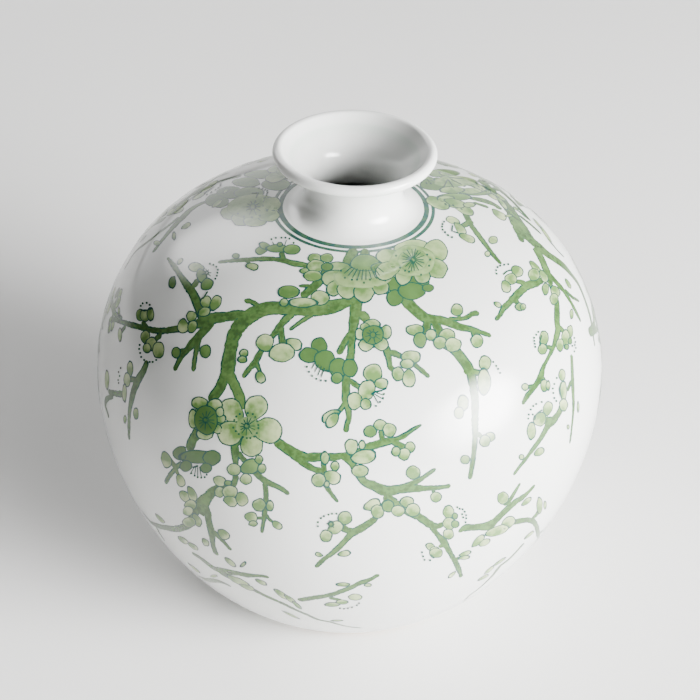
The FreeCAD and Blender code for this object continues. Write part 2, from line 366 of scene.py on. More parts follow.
def seed_object(points, edges=(), numbers=None, vectors=None):
    """A mesh of bare points, with what each one carries, for a tree to start from."""
    mesh = bpy.data.meshes.new("seed")
    mesh.from_pydata([tuple(point) for point in points], [tuple(edge) for edge in edges], [])
    for name, values in (numbers or {}).items():
        mesh.attributes.new(name, "FLOAT", "POINT").data.foreach_set("value", [float(v) for v in values])
    for name, values in (vectors or {}).items():
        flat = [part for value in values for part in value]
        mesh.attributes.new(name, "FLOAT_VECTOR", "POINT").data.foreach_set("vector", flat)
    return placed("seed", mesh)


# The turned outlines


class Outline:
    """Arcs and lines in radius and height, walked with the open air on the right."""

    # How many times the spacing a straight run's steps may be, and the fewest steps of an arc
    LINE_STRETCH = 3
    LEAST_STEPS = 4

    def __init__(self):
        self.runs = []

    def line(self, *corners):
        self.runs += [("line", first, second) for first, second in zip(corners, corners[1:])]
        return self

    def arc(self, centre, radius, start, stop):
        """An arc from one angle to another, in radians."""
        self.runs.append(("arc", centre, radius, start, stop))
        return self

    def points(self, spacing):
        """Points along the outline, no further apart than the spacing on its arcs."""
        places = []
        for run in self.runs:
            if run[0] == "line":
                first, second = np.array(run[1]), np.array(run[2])
                count = max(1, math.ceil(math.dist(first, second) / (self.LINE_STRETCH * spacing)))
                found = [tuple(first + (second - first) * i / count) for i in range(count + 1)]
            else:
                centre, radius, start, stop = run[1:]
                count = max(self.LEAST_STEPS, math.ceil(abs(stop - start) * radius / spacing))
                found = []
                for i in range(count + 1):
                    angle = start + (stop - start) * i / count
                    found.append(Lines.beyond(centre, radius, angle))
            places += found if not places else found[1:]
        return [(max(0.0, across), up) for across, up in places]

    def normals(self, centres, corners):
        """The outline's true normal at each corner, on the run nearest to its face's centre."""
        best = np.full(len(centres), np.inf)
        normals = np.zeros_like(corners)
        for run in self.runs:
            if run[0] == "line":
                first, second = np.array(run[1]), np.array(run[2])
                along = (second - first) / np.linalg.norm(second - first)
                reach = np.clip((centres - first) @ along, 0, np.linalg.norm(second - first))
                apart = np.linalg.norm(centres - first - reach[:, None] * along, axis=1)
                normal = np.tile((along[1], -along[0]), (len(corners), 1))
            else:
                centre, radius, start, stop = run[1:]
                middle, half = (start + stop) / 2, abs(stop - start) / 2
                off = centres - np.array(centre)
                turn = (np.arctan2(off[:, 1], off[:, 0]) - middle + math.pi) % (2 * math.pi) - math.pi
                angle = middle + np.clip(turn, -half, half)
                foot = np.array(centre) + radius * np.stack((np.cos(angle), np.sin(angle)), axis=1)
                apart = np.linalg.norm(centres - foot, axis=1)
                normal = unit(corners - np.array(centre))
                normal = normal if stop > start else -normal
            nearer = apart < best
            best[nearer] = apart[nearer]
            normals[nearer] = normal[nearer]
        return normals


class Lines:
    """The vase's outlines in metres, worked out from the form's values."""

    def __init__(self, form, inset=0.0):
        wide = form.body_diameter
        radius = {name: share * wide for name, share in RADIUS_SHARES.items()}
        angle = {name: math.radians(value) for name, value in ARC_ANGLES.items()}
        body = wide / 2
        self.form = form
        self.inset = inset
        self.outer = {name: value - inset for name, value in radius.items()}
        self.inner = {name: value - form.wall for name, value in radius.items()}

        belly_to_heel = radius["belly"] - radius["heel"]
        heel_centre_fall = belly_to_heel * math.sin(angle["belly"])
        self.widest = form.foot_height + heel_centre_fall + radius["heel"] * math.sin(angle["heel"])
        self.belly_centre = (body - radius["belly"], self.widest)
        heel_across = self.belly_centre[0] + belly_to_heel * math.cos(angle["belly"])
        self.heel_centre = (heel_across, self.widest - heel_centre_fall)
        self.heel_end = heel_across + radius["heel"] * math.cos(angle["heel"])

        self.side_centre = (body - radius["side"], self.widest)
        self.turn_centre = self.beyond(self.side_centre, radius["side"] - radius["turn"], angle["side"])
        self.crown_centre = self.beyond(self.turn_centre, radius["turn"] - radius["crown"], angle["turn"])

        neck = form.neck_diameter / 2
        across = neck + form.collar_radius - self.crown_centre[0]
        rise = math.sqrt((radius["crown"] + form.collar_radius) ** 2 - across ** 2)
        self.neck_height = self.crown_centre[1] + rise
        self.collar_angle = math.atan2(rise, across)
        self.collar_centre = (neck + form.collar_radius, self.neck_height)

        heel_start = -math.asin((self.heel_centre[1] - form.foot_height) / self.outer["heel"])
        self.foot_edge = self.beyond(self.heel_centre, self.outer["heel"], heel_start)
        self.arcs_below = (
            ("heel", self.heel_centre, heel_start, -angle["belly"]),
            ("belly", self.belly_centre, -angle["belly"], 0.0),
        )
        self.arcs_above = (
            ("side", self.side_centre, 0.0, angle["side"]),
            ("turn", self.turn_centre, angle["side"], angle["turn"]),
            ("crown", self.crown_centre, angle["turn"], self.collar_angle),
        )

        self.throat = neck - form.neck_wall
        self.joint = ((neck - inset, self.neck_height), (self.throat, self.neck_height))
        self.seam = ((body - inset, self.widest), (body - form.wall, self.widest))
        reach = self.throat - self.crown_centre[0]
        crown = self.inner["crown"]
        self.under_radius = (reach ** 2 + rise ** 2 - crown ** 2) / (2 * (crown - reach))
        self.under_centre = (self.throat + self.under_radius, self.neck_height)
        self.under_angle = math.atan2(rise, reach + self.under_radius)

        self.flare_centre = (neck + form.flare_radius, self.neck_height)
        roll = form.roll_diameter / 2
        flare_end = self.beyond(self.flare_centre, form.flare_radius, math.pi - angle["flare"])
        self.roll_centre = self.beyond(flare_end, roll, angle["roll"])
        self.bend_centre = (self.throat + form.throat_radius, self.neck_height)
        between = math.dist(self.bend_centre, self.roll_centre)
        rise_of_lip = self.roll_centre[1] - self.neck_height
        lean = math.atan2(rise_of_lip, self.roll_centre[0] - self.bend_centre[0])
        self.cone_angle = lean + math.acos((form.throat_radius - roll) / between)

    @staticmethod
    def beyond(start, distance, angle):
        return (start[0] + distance * math.cos(angle), start[1] + distance * math.sin(angle))

    def body_below(self, outline):
        """From the foot up to the widest line."""
        for name, centre, start, stop in self.arcs_below:
            outline.arc(centre, self.outer[name], start, stop)
        return outline

    def body_above(self, outline):
        """From the widest line up to the neck."""
        for name, centre, start, stop in self.arcs_above:
            outline.arc(centre, self.outer[name], start, stop)
        hollow = self.form.collar_radius + self.inset
        return outline.arc(self.collar_centre, hollow, self.collar_angle - math.pi, -math.pi)

    def painted_side(self):
        """The outer line that carries the paint, from the foot to the neck."""
        return self.body_above(self.body_below(Outline()))

    def lower_body(self):
        form = self.form
        inner = self.heel_end - form.foot_setback - form.foot_width
        bend = form.recess_corner
        floor = form.recess_depth + form.floor_thickness
        corner = form.floor_corner
        outline = Outline().line((0.0, form.recess_depth), (inner - bend, form.recess_depth))
        outline.arc((inner - bend, form.recess_depth - bend), bend, math.pi / 2, 0.0)
        outline.line((inner, form.recess_depth - bend), (inner, self.foot_edge[1]), self.foot_edge)
        self.body_below(outline)
        outline.line(*self.seam)
        wall = self.inner["belly"]
        centre_height = floor + corner
        reach = math.sqrt((wall - corner) ** 2 - (self.widest - centre_height) ** 2)
        turn = math.atan2(centre_height - self.widest, reach)
        corner_centre = (self.belly_centre[0] + reach, centre_height)
        outline.arc(self.belly_centre, wall, 0.0, turn)
        outline.arc(corner_centre, corner, turn, -math.pi / 2)
        return outline.line((corner_centre[0], floor), (0.0, floor))

    def upper_body(self):
        outline = self.body_above(Outline()).line(*self.joint)
        outline.arc(self.under_centre, self.under_radius, math.pi, self.under_angle + math.pi)
        top = self.under_angle
        for name, centre, start, _ in reversed(self.arcs_above):
            outline.arc(centre, self.inner[name], top, start)
            top = start
        return outline.line(*reversed(self.seam))

    def neck_and_mouth(self):
        form = self.form
        roll = form.roll_diameter / 2 - form.roll_inset
        flare = form.flare_radius + self.inset
        apart = math.dist(self.flare_centre, self.roll_centre)
        along = (apart ** 2 + flare ** 2 - roll ** 2) / (2 * apart)
        rise = self.roll_centre[1] - self.neck_height
        towards = math.atan2(rise, self.roll_centre[0] - self.flare_centre[0])
        end = self.beyond(self.flare_centre, flare, towards + math.acos(along / flare))
        leave = math.atan2(end[1] - self.roll_centre[1], end[0] - self.roll_centre[0])
        flare_stop = math.atan2(end[1] - self.neck_height, end[0] - self.flare_centre[0])
        outline = Outline().arc(self.flare_centre, flare, math.pi, flare_stop)
        outline.arc(self.roll_centre, roll, leave, self.cone_angle)
        cone_top = self.beyond(self.roll_centre, roll, self.cone_angle)
        cone_foot = self.beyond(self.bend_centre, form.throat_radius, self.cone_angle)
        outline.line(cone_top, cone_foot)
        outline.arc(self.bend_centre, form.throat_radius, self.cone_angle, math.pi)
        return outline.line(*reversed(self.joint))

    def foot_ring(self):
        form = self.form
        outer = self.heel_end - form.foot_setback
        inner = outer - form.foot_width
        edge = form.foot_edge
        top = form.foot_height
        outline = Outline().line((outer, edge), (outer, top), (inner, top), (inner, edge))
        outline.arc((inner + edge, edge), edge, math.pi, 1.5 * math.pi)
        outline.line((inner + edge, 0.0), (outer - edge, 0.0))
        return outline.arc((outer - edge, edge), edge, 1.5 * math.pi, 2 * math.pi)

    def height_at(self, radius, halvings=30):
        """The height above the widest line where the painted side has this radius."""
        low, high = self.widest, self.neck_height
        for _ in range(halvings):
            height = (low + high) / 2
            low, high = (height, high) if self.outer_radius(height) > radius else (low, height)
        return height

    def outer_radius(self, height):
        """The painted side's radius at this height."""
        for name, centre, _, stop in self.arcs_below + self.arcs_above:
            if height <= centre[1] + self.outer[name] * math.sin(stop):
                return centre[0] + math.sqrt(max(0.0, self.outer[name] ** 2 - (height - centre[1]) ** 2))
        hollow = self.form.collar_radius + self.inset
        drop = min(0.0, height - self.neck_height)
        return self.collar_centre[0] - math.sqrt(max(0.0, hollow ** 2 - drop ** 2))

    def normal(self, point):
        """The painted side's outward normal at a point."""
        step = 0.2 * MM
        slope = (self.outer_radius(point.z + step) - self.outer_radius(point.z - step)) / (2 * step)
        return Vector((point.x, point.y, -slope * math.hypot(point.x, point.y))).normalized()


def turned_tree():
    """Turns a row of points, radius along X and height along Z, about the vase's axis."""
    tree = FormTree("turned_form", {"Facets Round": "NodeSocketInt", "Material": "NodeSocketMaterial"})
    rows = tree.out("GeometryNodeAttributeDomainSize", {"Geometry": tree.given["Geometry"]})
    columns = tree.given_value("Facets Round") + 1.0
    sockets = {"Size X": 1.0, "Size Y": 1.0, "Vertices X": columns, "Vertices Y": rows}
    grid = tree.out("GeometryNodeMeshGrid", sockets)
    place = tree.place()
    along, up, _ = tree.parts(place)
    angle = (along + 0.5) * (2 * math.pi)
    row = ((up + 0.5) * (Value(tree, rows) - 1.0)).rounded()
    sockets = {"Geometry": tree.given["Geometry"], "Value": place, "Index": row}
    spot = tree.out("GeometryNodeSampleIndex", sockets, data_type="FLOAT_VECTOR", domain="POINT")
    across, _, height = tree.parts(spot)
    round_form = tree.move(grid, tree.joined(across * angle.cosine(), across * angle.sine(), height))
    closed = tree.out("GeometryNodeMergeByDistance", {"Geometry": round_form, "Distance": MERGE_REACH})
    tree.finish(closed)
    return tree


def turn_outline(tree, name, outline, spacing, facets):
    """A turned piece with its faces outward and its true normals."""
    places = outline.points(spacing)
    seed = seed_object([(across, 0.0, up) for across, up in places])
    made = tree.make(seed, name, facets_round=facets)
    mesh = made.data
    face_it_outward(mesh)
    vertex = read(mesh.loops, "vertex_index", kind=np.int32)
    spots = read(mesh.vertices, "co", 3)
    starts = read(mesh.polygons, "loop_start", kind=np.int32)
    sizes = read(mesh.polygons, "loop_total", kind=np.int32)
    face = np.repeat(np.arange(len(starts)), sizes)
    corners = spots[vertex]
    flat = radius_and_height(spots)[vertex]
    middles = np.add.reduceat(corners, starts, axis=0) / sizes[:, None]
    flat_middles = np.add.reduceat(flat, starts, axis=0) / sizes[:, None]
    normals = outline.normals(flat_middles[face], flat)
    on_axis = flat[:, 0] < MERGE_REACH / 2
    towards = unit(np.where(on_axis[:, None], middles[face][:, :2], corners[:, :2]))
    full = np.column_stack((normals[:, 0:1] * towards, normals[:, 1]))
    full[on_axis, :2] = 0.0
    mesh.normals_split_custom_set(unit(full).tolist())
    return made


def face_it_outward(mesh):
    """Turn a closed mesh the right way round, by its volume."""
    total = 0.0
    for polygon in mesh.polygons:
        first, second, third = (mesh.vertices[i].co for i in polygon.vertices[:3])
        total += first.dot(second.cross(third)) * (1 if len(polygon.vertices) == 3 else 2)
    if total < 0:
        mesh.flip_normals()


# The photo's camera


def camera_frame(view):
    """The camera's place and axes as a matrix."""
    forward = Vector((0.0, math.cos(view.pitch), -math.sin(view.pitch)))
    right = Vector((1.0, 0.0, 0.0))
    up = right.cross(forward)
    lean, stand = math.sin(view.roll), math.cos(view.roll)
    right, up = stand * right + lean * up, stand * up - lean * right
    columns = Matrix((right, up, -forward)).transposed().to_4x4()
    return Matrix.Translation((0.0, -view.distance, view.height)) @ columns


# What is painted, read off the photo. Every point is a pixel across and
# a pixel down. A stroke's third number is its width. A dab holds its centre,
# its half length, its half breadth and the turn from level of its length,
# which points from the base of the petal to its tip. A star of stamens holds its
# centre, how many there are, where they start and end, and the small ring's radius.


def kind_of_dab(greenness, edge):
    """A kind of dab, by how green it is and how strong its dark edge is."""
    return lambda *oval: ((greenness, edge), *oval)


pale = kind_of_dab(0.0, 1.0)
mild = kind_of_dab(0.25, 1.2)
wash = kind_of_dab(0.3, 0.25)
green = kind_of_dab(0.5, 1.0)
dark = kind_of_dab(1.0, 0.9)


def motif(*dabs, **more):
    """Dabs from the lowest to the highest, pale where no kind is given, and what goes with them."""
    dabs = tuple(dab if isinstance(dab[0], tuple) else pale(*dab) for dab in dabs)
    return {"dabs": dabs, **more}


def hair(across, down, end_across, end_down):
    """A fine straight line that thins out."""
    return ((across, down, 1.2), (end_across, end_down, 1))


BOUGHS = dict(
    ring_stubs=(((354, 250, 10), (347, 263, 10)), ((365, 250, 9), (365, 256, 9))),
    centre_stem=(
        ((349, 360, 8), (347, 372, 8), (346, 384, 8)), ((389, 366, 5), (394, 371, 4), (398, 376, 3)),
        ((356, 296, 13), (356, 305, 12.5), (355, 315, 11), (353.5, 325, 9), (352.5, 335, 8),
         (351.5, 345, 7.5), (351, 355, 7.5), (349, 363, 8)),
        ((361, 313, 9), (367, 320, 9)), ((351, 333, 6), (345, 342, 6), (339, 353, 6)),
        ((346, 380, 8), (346, 392, 8), (346, 400, 8), (348, 408, 7), (349, 418, 5), (347, 424, 5),
         (346, 431, 5)),
        ((345, 404, 5), (341, 409, 4.5), (339, 411.5, 4)), ((350, 380, 5), (356, 385, 5), (361, 388, 5)),
        ((386, 347, 8), (388, 355, 7), (389, 361, 5.5), (390, 367.5, 5)),
        ((390, 352, 6), (396, 354, 5.5), (401, 356.5, 4.5)),
        ((415, 365, 4), (421, 370, 4), (428, 376, 3.5)),
    ),
    right_bough=(
        ((396, 288, 9), (401, 295, 10), (408, 303, 11)),
        ((425, 329, 9), (434, 337, 9), (445, 344, 9), (457, 352, 9)),
        ((405, 300, 11), (413, 308, 10), (421, 315, 10), (428, 319, 10), (440, 320, 8), (450, 323, 7.5),
         (460, 327, 7), (470, 329, 6), (480, 332, 4.5), (490, 335.5, 4)),
        ((428, 319, 8), (427, 326, 9), (426, 331, 8)),
        ((450, 319, 4), (458, 319, 4), (466, 318, 4.5), (472, 314, 5), (478, 313, 5)),
        ((459.5, 316, 4), (459, 319, 4)), ((434, 322, 7), (440, 332, 8), (440, 337, 6)),
        ((455, 350, 9), (463, 360, 9), (470, 371, 9), (473, 385, 8), (475, 400, 7), (475, 420, 6),
         (475, 440, 5), (473, 460, 4), (470, 478, 4)),
        ((473, 331, 5), (475, 337, 5)), ((465, 371, 6), (480, 373, 6)), ((478, 434, 4), (482, 437, 4)),
    ),
    left_trunk=(
        ((352, 300, 10), (344, 303, 10), (335, 306, 13), (325, 308, 14), (312, 309, 14), (300, 309, 13),
         (288, 309, 12.5), (275, 308, 13), (265, 309, 14), (255, 313, 14), (245, 320, 14), (238, 328, 13.5),
         (233, 338, 13), (231, 348, 13), (229, 358, 13), (228, 368, 14), (227, 376, 13)),
        ((226, 372, 10), (220, 388, 10), (214, 396, 10), (211, 402, 8)),
        ((228, 372, 10), (236, 388, 10), (240, 398, 9.5), (243, 408, 5)),
        ((258, 306, 5), (252, 302, 5), (246.5, 300.5, 4.5)),
        ((246, 314, 6), (236, 315, 9), (225, 317, 9), (215, 318, 11), (205, 321, 11), (197, 324, 9),
         (188, 327, 8), (180, 328.5, 7), (170, 330, 6), (162, 331, 5.5), (152, 330, 5.5), (142, 327.5, 5),
         (132, 325, 5), (122, 322, 4.5), (113, 318.5, 4)),
        ((168.5, 259, 3), (174, 266, 4.5), (180, 275, 5), (187, 285, 7.5), (192, 292, 8.5), (196, 300, 8.5),
         (199, 308, 9), (204, 317, 11)),
        ((194, 286, 6), (197, 281, 5), (198, 279, 4)),
        ((212, 320, 9), (207, 327, 8.5), (200, 335, 8), (193, 343, 7.5), (187, 350, 6), (181, 357, 4.5),
         (175, 369, 3.5)),
        ((199, 339, 5), (197, 347, 4.5), (195, 358, 4), (193.5, 370, 4)), ((199, 350, 3), (202, 349, 3)),
        ((180, 351, 4), (187, 350, 4)), ((312, 315, 4), (302, 321, 4), (291, 329, 2.8)),
        ((293, 314, 6), (287, 318, 7), (281, 325, 7), (276, 332, 6), (271, 338, 4)),
        ((281, 328, 6), (281.5, 336, 6), (283, 345, 7)),
        ((262, 350, 5), (258, 357, 6), (255, 363, 6), (250, 368, 5), (244, 376, 4)),
        ((256, 363, 5), (259, 369, 4), (260.5, 374, 3)),
    ),
    far_left=(
        ((143.5, 321, 4), (144, 325, 4), (147, 328, 4)), ((160, 335, 5), (156, 339, 4), (154, 342, 3)),
        ((125, 327, 3), (122, 331, 3)),
        ((147, 362, 4), (143, 372, 6), (138, 380, 7), (134, 390, 5.5), (131.5, 400, 4.5), (129.5, 412, 3.5),
         (129, 425, 3), (129, 438, 2.5)),
        ((138, 380, 5), (131, 379, 5)),
    ),
    left_edge=(
        ((110, 392, 4), (118, 394, 6), (122, 394, 6)),
        ((112, 396, 5), (106, 400, 4), (105, 405, 3.5), (107, 411, 3), (108.5, 416, 3)),
    ),
    upper_twig=(
        ((300, 264, 5), (308, 266, 5), (318, 268, 6), (327, 267, 7)), ((246, 260, 2.5), (250, 264, 2.5)),
        ((236, 258, 2), (237, 261, 2)),
        ((304, 265, 5.5), (292, 263, 5.5), (282, 260, 5), (272, 259, 4.5), (262, 259, 4.5), (250, 259.5, 4),
         (235, 260.5, 3.2), (219.5, 262, 2.8)),
        ((281.5, 253, 5), (283, 259, 6)),
        ((326, 270, 7), (322, 278, 8), (317, 284, 8), (310, 290, 8), (303, 296, 7)),
        ((309, 286, 3.5), (300.5, 286, 2.8)),
    ),
    below_blossoms=(
        ((206, 425, 8), (200, 430, 8), (195, 438, 8)), ((240, 436, 6), (236, 444, 7)),
        ((247, 463, 5), (252, 468, 5), (258, 474, 5)),
        ((197, 430, 7), (194, 437, 8), (191, 444, 9), (189, 450, 9)),
        ((181, 464, 5), (176, 467, 5), (172, 462, 3.5), (170, 459, 3)),
        ((176, 468, 4.5), (170, 475, 4), (166, 482, 3.5)), ((176, 470, 3.5), (178, 474, 3)),
        ((234.5, 444, 7), (235, 452, 7.5), (235.5, 460, 6), (236, 466, 5)),
        ((238, 453, 5), (243, 459, 5), (247, 463, 5)), ((236, 475, 6), (235, 481, 6), (233, 485, 6)),
        ((253, 470, 5), (260, 477, 5.5), (267, 482, 6), (275, 485.5, 5), (282, 489, 4.5),
         (288, 493.5, 3.5)),
        ((265, 484, 5), (266, 492, 4.5), (266, 500, 5), (265, 507, 5), (264.5, 515, 5), (263.5, 522, 3.5),
         (262, 531, 3)),
        ((257, 518, 2.5), (262, 518, 2.5)), ((266, 515, 3), (269, 519, 2.5), (272, 521.5, 2.5)),
    ),
    lower_left=(
        ((233, 485, 6), (226, 486, 6), (218, 488, 6)),
        ((219, 487, 6), (213, 491, 8), (208, 497, 10), (203, 503, 13), (203, 510, 12), (207, 512, 7),
         (208.5, 520, 6), (210.5, 528, 6), (212, 536, 5.5), (213, 545, 4), (216, 553.5, 3.5)),
        ((213, 531, 4), (218, 536, 3.5), (224, 542, 3), (230, 549, 2.5)),
        ((196, 511, 8), (190, 523, 8), (184, 527, 7), (176, 529, 6), (168, 528, 5), (160, 526.5, 4),
         (152, 523, 3), (147, 518, 2.5), (142, 511, 2)),
        ((157, 528, 2), (160, 534, 2), (164, 540, 1.5)),
    ),
    lower_centre=(
        ((325, 484, 4), (330, 492, 4), (337, 501, 3)),
        ((342, 456, 6), (350, 461, 7), (356, 470, 7), (364, 482, 8)),
        ((350, 456, 5), (358, 452, 6), (367, 447, 7)),
        ((276, 441, 9), (284, 447, 9.5), (292, 452, 11), (300, 457, 12), (308, 457.5, 9), (318, 457, 8.5),
         (330, 457, 7.5), (338, 456.5, 7), (346, 455, 5), (352, 460, 6), (352, 466, 4)),
        ((300, 461, 7), (308, 466, 6), (316, 470, 6), (324, 471, 5)),
        ((323, 461, 4), (324, 468, 5), (324, 474, 4)),
        ((364, 448, 7), (372, 446, 7.5), (382, 443, 7.5), (390, 441, 7), (398, 438.5, 5), (405, 435, 4.5),
         (412, 430, 4), (420, 425.5, 2)),
        ((393, 442, 6), (399, 445, 6), (404, 447.5, 6)), ((381, 431, 5), (382, 438, 5), (384, 441, 6)),
    ),
    lower_right=(
        ((396, 503, 8), (406, 510, 8), (419, 517, 7)), ((388, 500, 7), (381, 510, 6), (373, 521, 6)),
        ((350, 532, 5), (343, 526, 4), (337, 524, 4)),
        ((361, 480, 6), (368, 484, 8), (372, 485, 9), (380, 489, 10), (388, 491, 10), (400, 489, 8.5),
         (410, 488, 8.5), (420, 488.5, 6), (430, 488, 5), (440, 487.5, 4), (449, 486, 3.5)),
        ((400, 487, 4), (408, 485, 5), (416, 482, 5), (421, 479, 4), (428, 474, 3.5), (434.5, 469.5, 3)),
        ((417, 478.5, 4), (418, 481, 4)), ((433, 490, 3), (434, 493, 3)),
        ((386, 495, 10), (390, 500, 9), (396, 503, 8)),
        ((375, 519, 6), (368, 524, 6.5), (360, 529, 7), (352, 533, 7.5), (349, 536.5, 6), (344, 542, 5),
         (338, 548, 5.5), (330, 555, 4), (324, 559, 4), (317, 566, 3.5)),
        ((352, 531, 6), (345, 530, 5), (342, 528, 4)),
        ((418, 516, 7), (425, 521, 7.5), (431, 525, 7), (437, 526.5, 5), (443, 524, 4.5)),
        ((432, 528, 5), (438, 535, 5), (444, 542, 7), (448, 549, 5), (452, 556, 4.5), (456, 563, 5),
         (459, 570, 4.5), (461, 576, 3.5)),
        ((440, 546, 4), (444, 545, 4)), ((456, 558.5, 3), (460, 558, 3)),
    ),
    bottom_left=(
        ((194, 554, 3), (199, 557, 4), (205, 561.5, 4.5), (212, 567, 5), (218, 570, 6), (226, 571.5, 6),
         (236, 573, 4.5), (246, 575, 4), (254, 575.5, 3), (262, 576, 2.5), (268, 577, 2.5)),
        ((218, 570, 5), (224, 574, 6), (232, 578, 5)),
        ((250, 588, 3), (258, 592, 3.5), (266, 596, 3.5), (275, 600, 3), (286, 605, 3), (296, 610, 2.5),
         (308, 615, 2.5), (318, 619.5, 2), (330, 622, 2), (345, 626, 1.5), (360, 628, 1.5)),
        ((200, 577, 3), (207, 580, 4), (216, 580.5, 4), (224, 583, 3), (230, 586, 2)),
    ),
    bottom_centre=(
        ((300, 600, 3.5), (312, 598, 4), (322, 596.5, 4), (332, 594.5, 4), (342, 591, 4), (352, 587, 4),
         (360, 583, 4), (366, 581, 4), (372, 578.5, 3.5), (377, 575.5, 3)),
        ((331, 598, 3), (340, 600, 3)),
    ),
    bottom_right=(
        ((460, 531, 3), (464, 528, 6), (472, 527.5, 6), (482, 526.5, 7), (490, 525, 9), (496, 520, 6),
         (503, 513, 6), (510, 506.5, 5), (516, 501.5, 5), (523, 497, 4), (529, 491.5, 3), (534, 486, 2.5)),
        ((505, 503, 5), (509, 501, 4), (513, 495, 3), (516, 490, 2.5), (519, 485, 2)),
        ((514, 522, 5), (520, 521, 5), (528, 520, 5), (534, 522, 5), (537, 528, 4), (538, 534, 3.5),
         (539, 543, 2.5)),
        ((532, 519, 4), (537, 514, 5), (540, 509, 5)), ((549, 523, 1.5), (545, 529, 1.5), (541, 532, 1.5)),
        ((523, 544, 2.5), (516, 552, 2.5), (508, 560, 3), (500, 566, 3), (493, 575, 3), (485, 583, 2.5),
         (477, 590, 2), (470, 595, 2), (465, 600, 1.5)),
    ),
    right_shoulder=(
        ((461, 207, 5), (465, 213, 5), (468, 219, 5), (471, 225, 4.5), (476, 232, 4.5), (482, 240, 4),
         (488, 248, 4), (494, 256, 3.5), (500, 263, 2.5)),
        ((470, 222, 6), (465, 225, 5), (461, 226.5, 4)),
    ),
    right_back=(
        ((455, 196, 3), (470, 198, 4), (485, 201, 6), (495, 205, 5), (500, 209, 3)),
        ((475, 203, 3), (487, 207, 3)),
        ((463, 179, 4), (475, 184, 7), (488, 190, 7), (498, 196, 8), (505, 204, 9), (512, 213, 9),
         (517, 222, 11), (523, 231, 11), (530, 239, 8), (538, 246, 9), (546, 253, 7.5), (556, 260, 7),
         (564, 266, 7), (570, 273, 5.5), (577, 282, 4.5), (582, 292, 4), (586, 303, 4), (589.5, 314, 4),
         (592, 326, 3), (594.5, 345, 2)),
        ((517, 228, 8), (520, 235, 6), (521.5, 241, 4.5)),
        ((536, 249, 6), (541, 258, 6), (545, 267, 6), (548, 275, 7), (549.5, 283, 6)),
        ((549, 274, 5), (556, 282, 4.5), (563, 290, 4), (569, 299, 3.5), (574, 308, 3.5), (580, 320, 2.5)),
        ((566, 291, 2.5), (572, 297, 2.5), (578, 300.5, 2)), ((515, 208, 2), (528, 219, 1.8)),
        ((520, 216, 2.5), (530, 224, 2.5), (540, 233, 2)),
        ((549, 240, 2), (557, 250, 1.5), (563, 256, 1.5)),
        ((480, 180, 4), (500, 188, 3), (520, 200, 3), (532, 211, 3), (542, 221, 2)),
    ),
    right_middle=(
        ((541, 280, 7), (535, 283, 8), (528, 285.5, 8), (522, 290, 8), (515, 297, 7), (508, 304, 6),
         (503, 309, 5.5), (500, 315, 4.5), (496, 319.5, 3.5)),
        ((525, 284, 6), (520, 282, 4), (516, 281.5, 3.5)), ((515, 300, 5), (518, 304, 4)),
        ((557, 303, 5), (557, 312, 5), (557, 322, 5.5), (558, 330, 5), (556, 338, 5), (554, 345, 4),
         (551, 352, 3.5), (547, 360, 3), (543, 368, 4), (541, 376, 6), (537, 383, 5), (532, 390, 5),
         (527, 396, 4.5), (523, 403, 3)),
        ((551, 285, 4), (554, 294, 4), (557, 303, 5)), ((559, 327, 4), (563, 331, 4)),
        ((547, 347, 4), (552, 348, 4)), ((528, 387, 3), (532, 386, 3)), ((543, 378, 4), (544.5, 381, 3)),
    ),
    right_low=(
        ((571.5, 356, 3), (572, 365, 3), (572.5, 380, 3.5), (573, 392, 3), (573.5, 404, 3), (573, 415, 2.2),
         (572, 425, 2), (571, 434, 1.8), (570, 442, 1.5)),
        ((573, 380, 2.5), (570, 384, 3), (568, 389, 2.5)),
        ((561.5, 406, 4), (560, 411, 5), (557, 416, 5), (553, 421, 7), (549, 423, 8), (546, 429, 5),
         (541, 438, 4), (536, 445, 4), (530, 453, 3), (525, 460, 3), (520, 466, 2.5), (514.5, 473.5, 2.5)),
        ((553, 421, 6), (547, 420, 7), (544, 421, 5)),
    ),
    left_back=(
        ((211, 200, 4), (200, 204, 4), (190, 210, 5), (183, 217, 6), (176, 224, 5), (168, 233, 4),
         (160, 243, 3), (154, 251, 2.5)),
        ((178, 218, 2.5), (150, 240, 2.5), (135, 252, 3), (125, 268, 2)),
        ((240, 176, 4), (220, 181, 3), (200, 190, 3)),
    ),
)

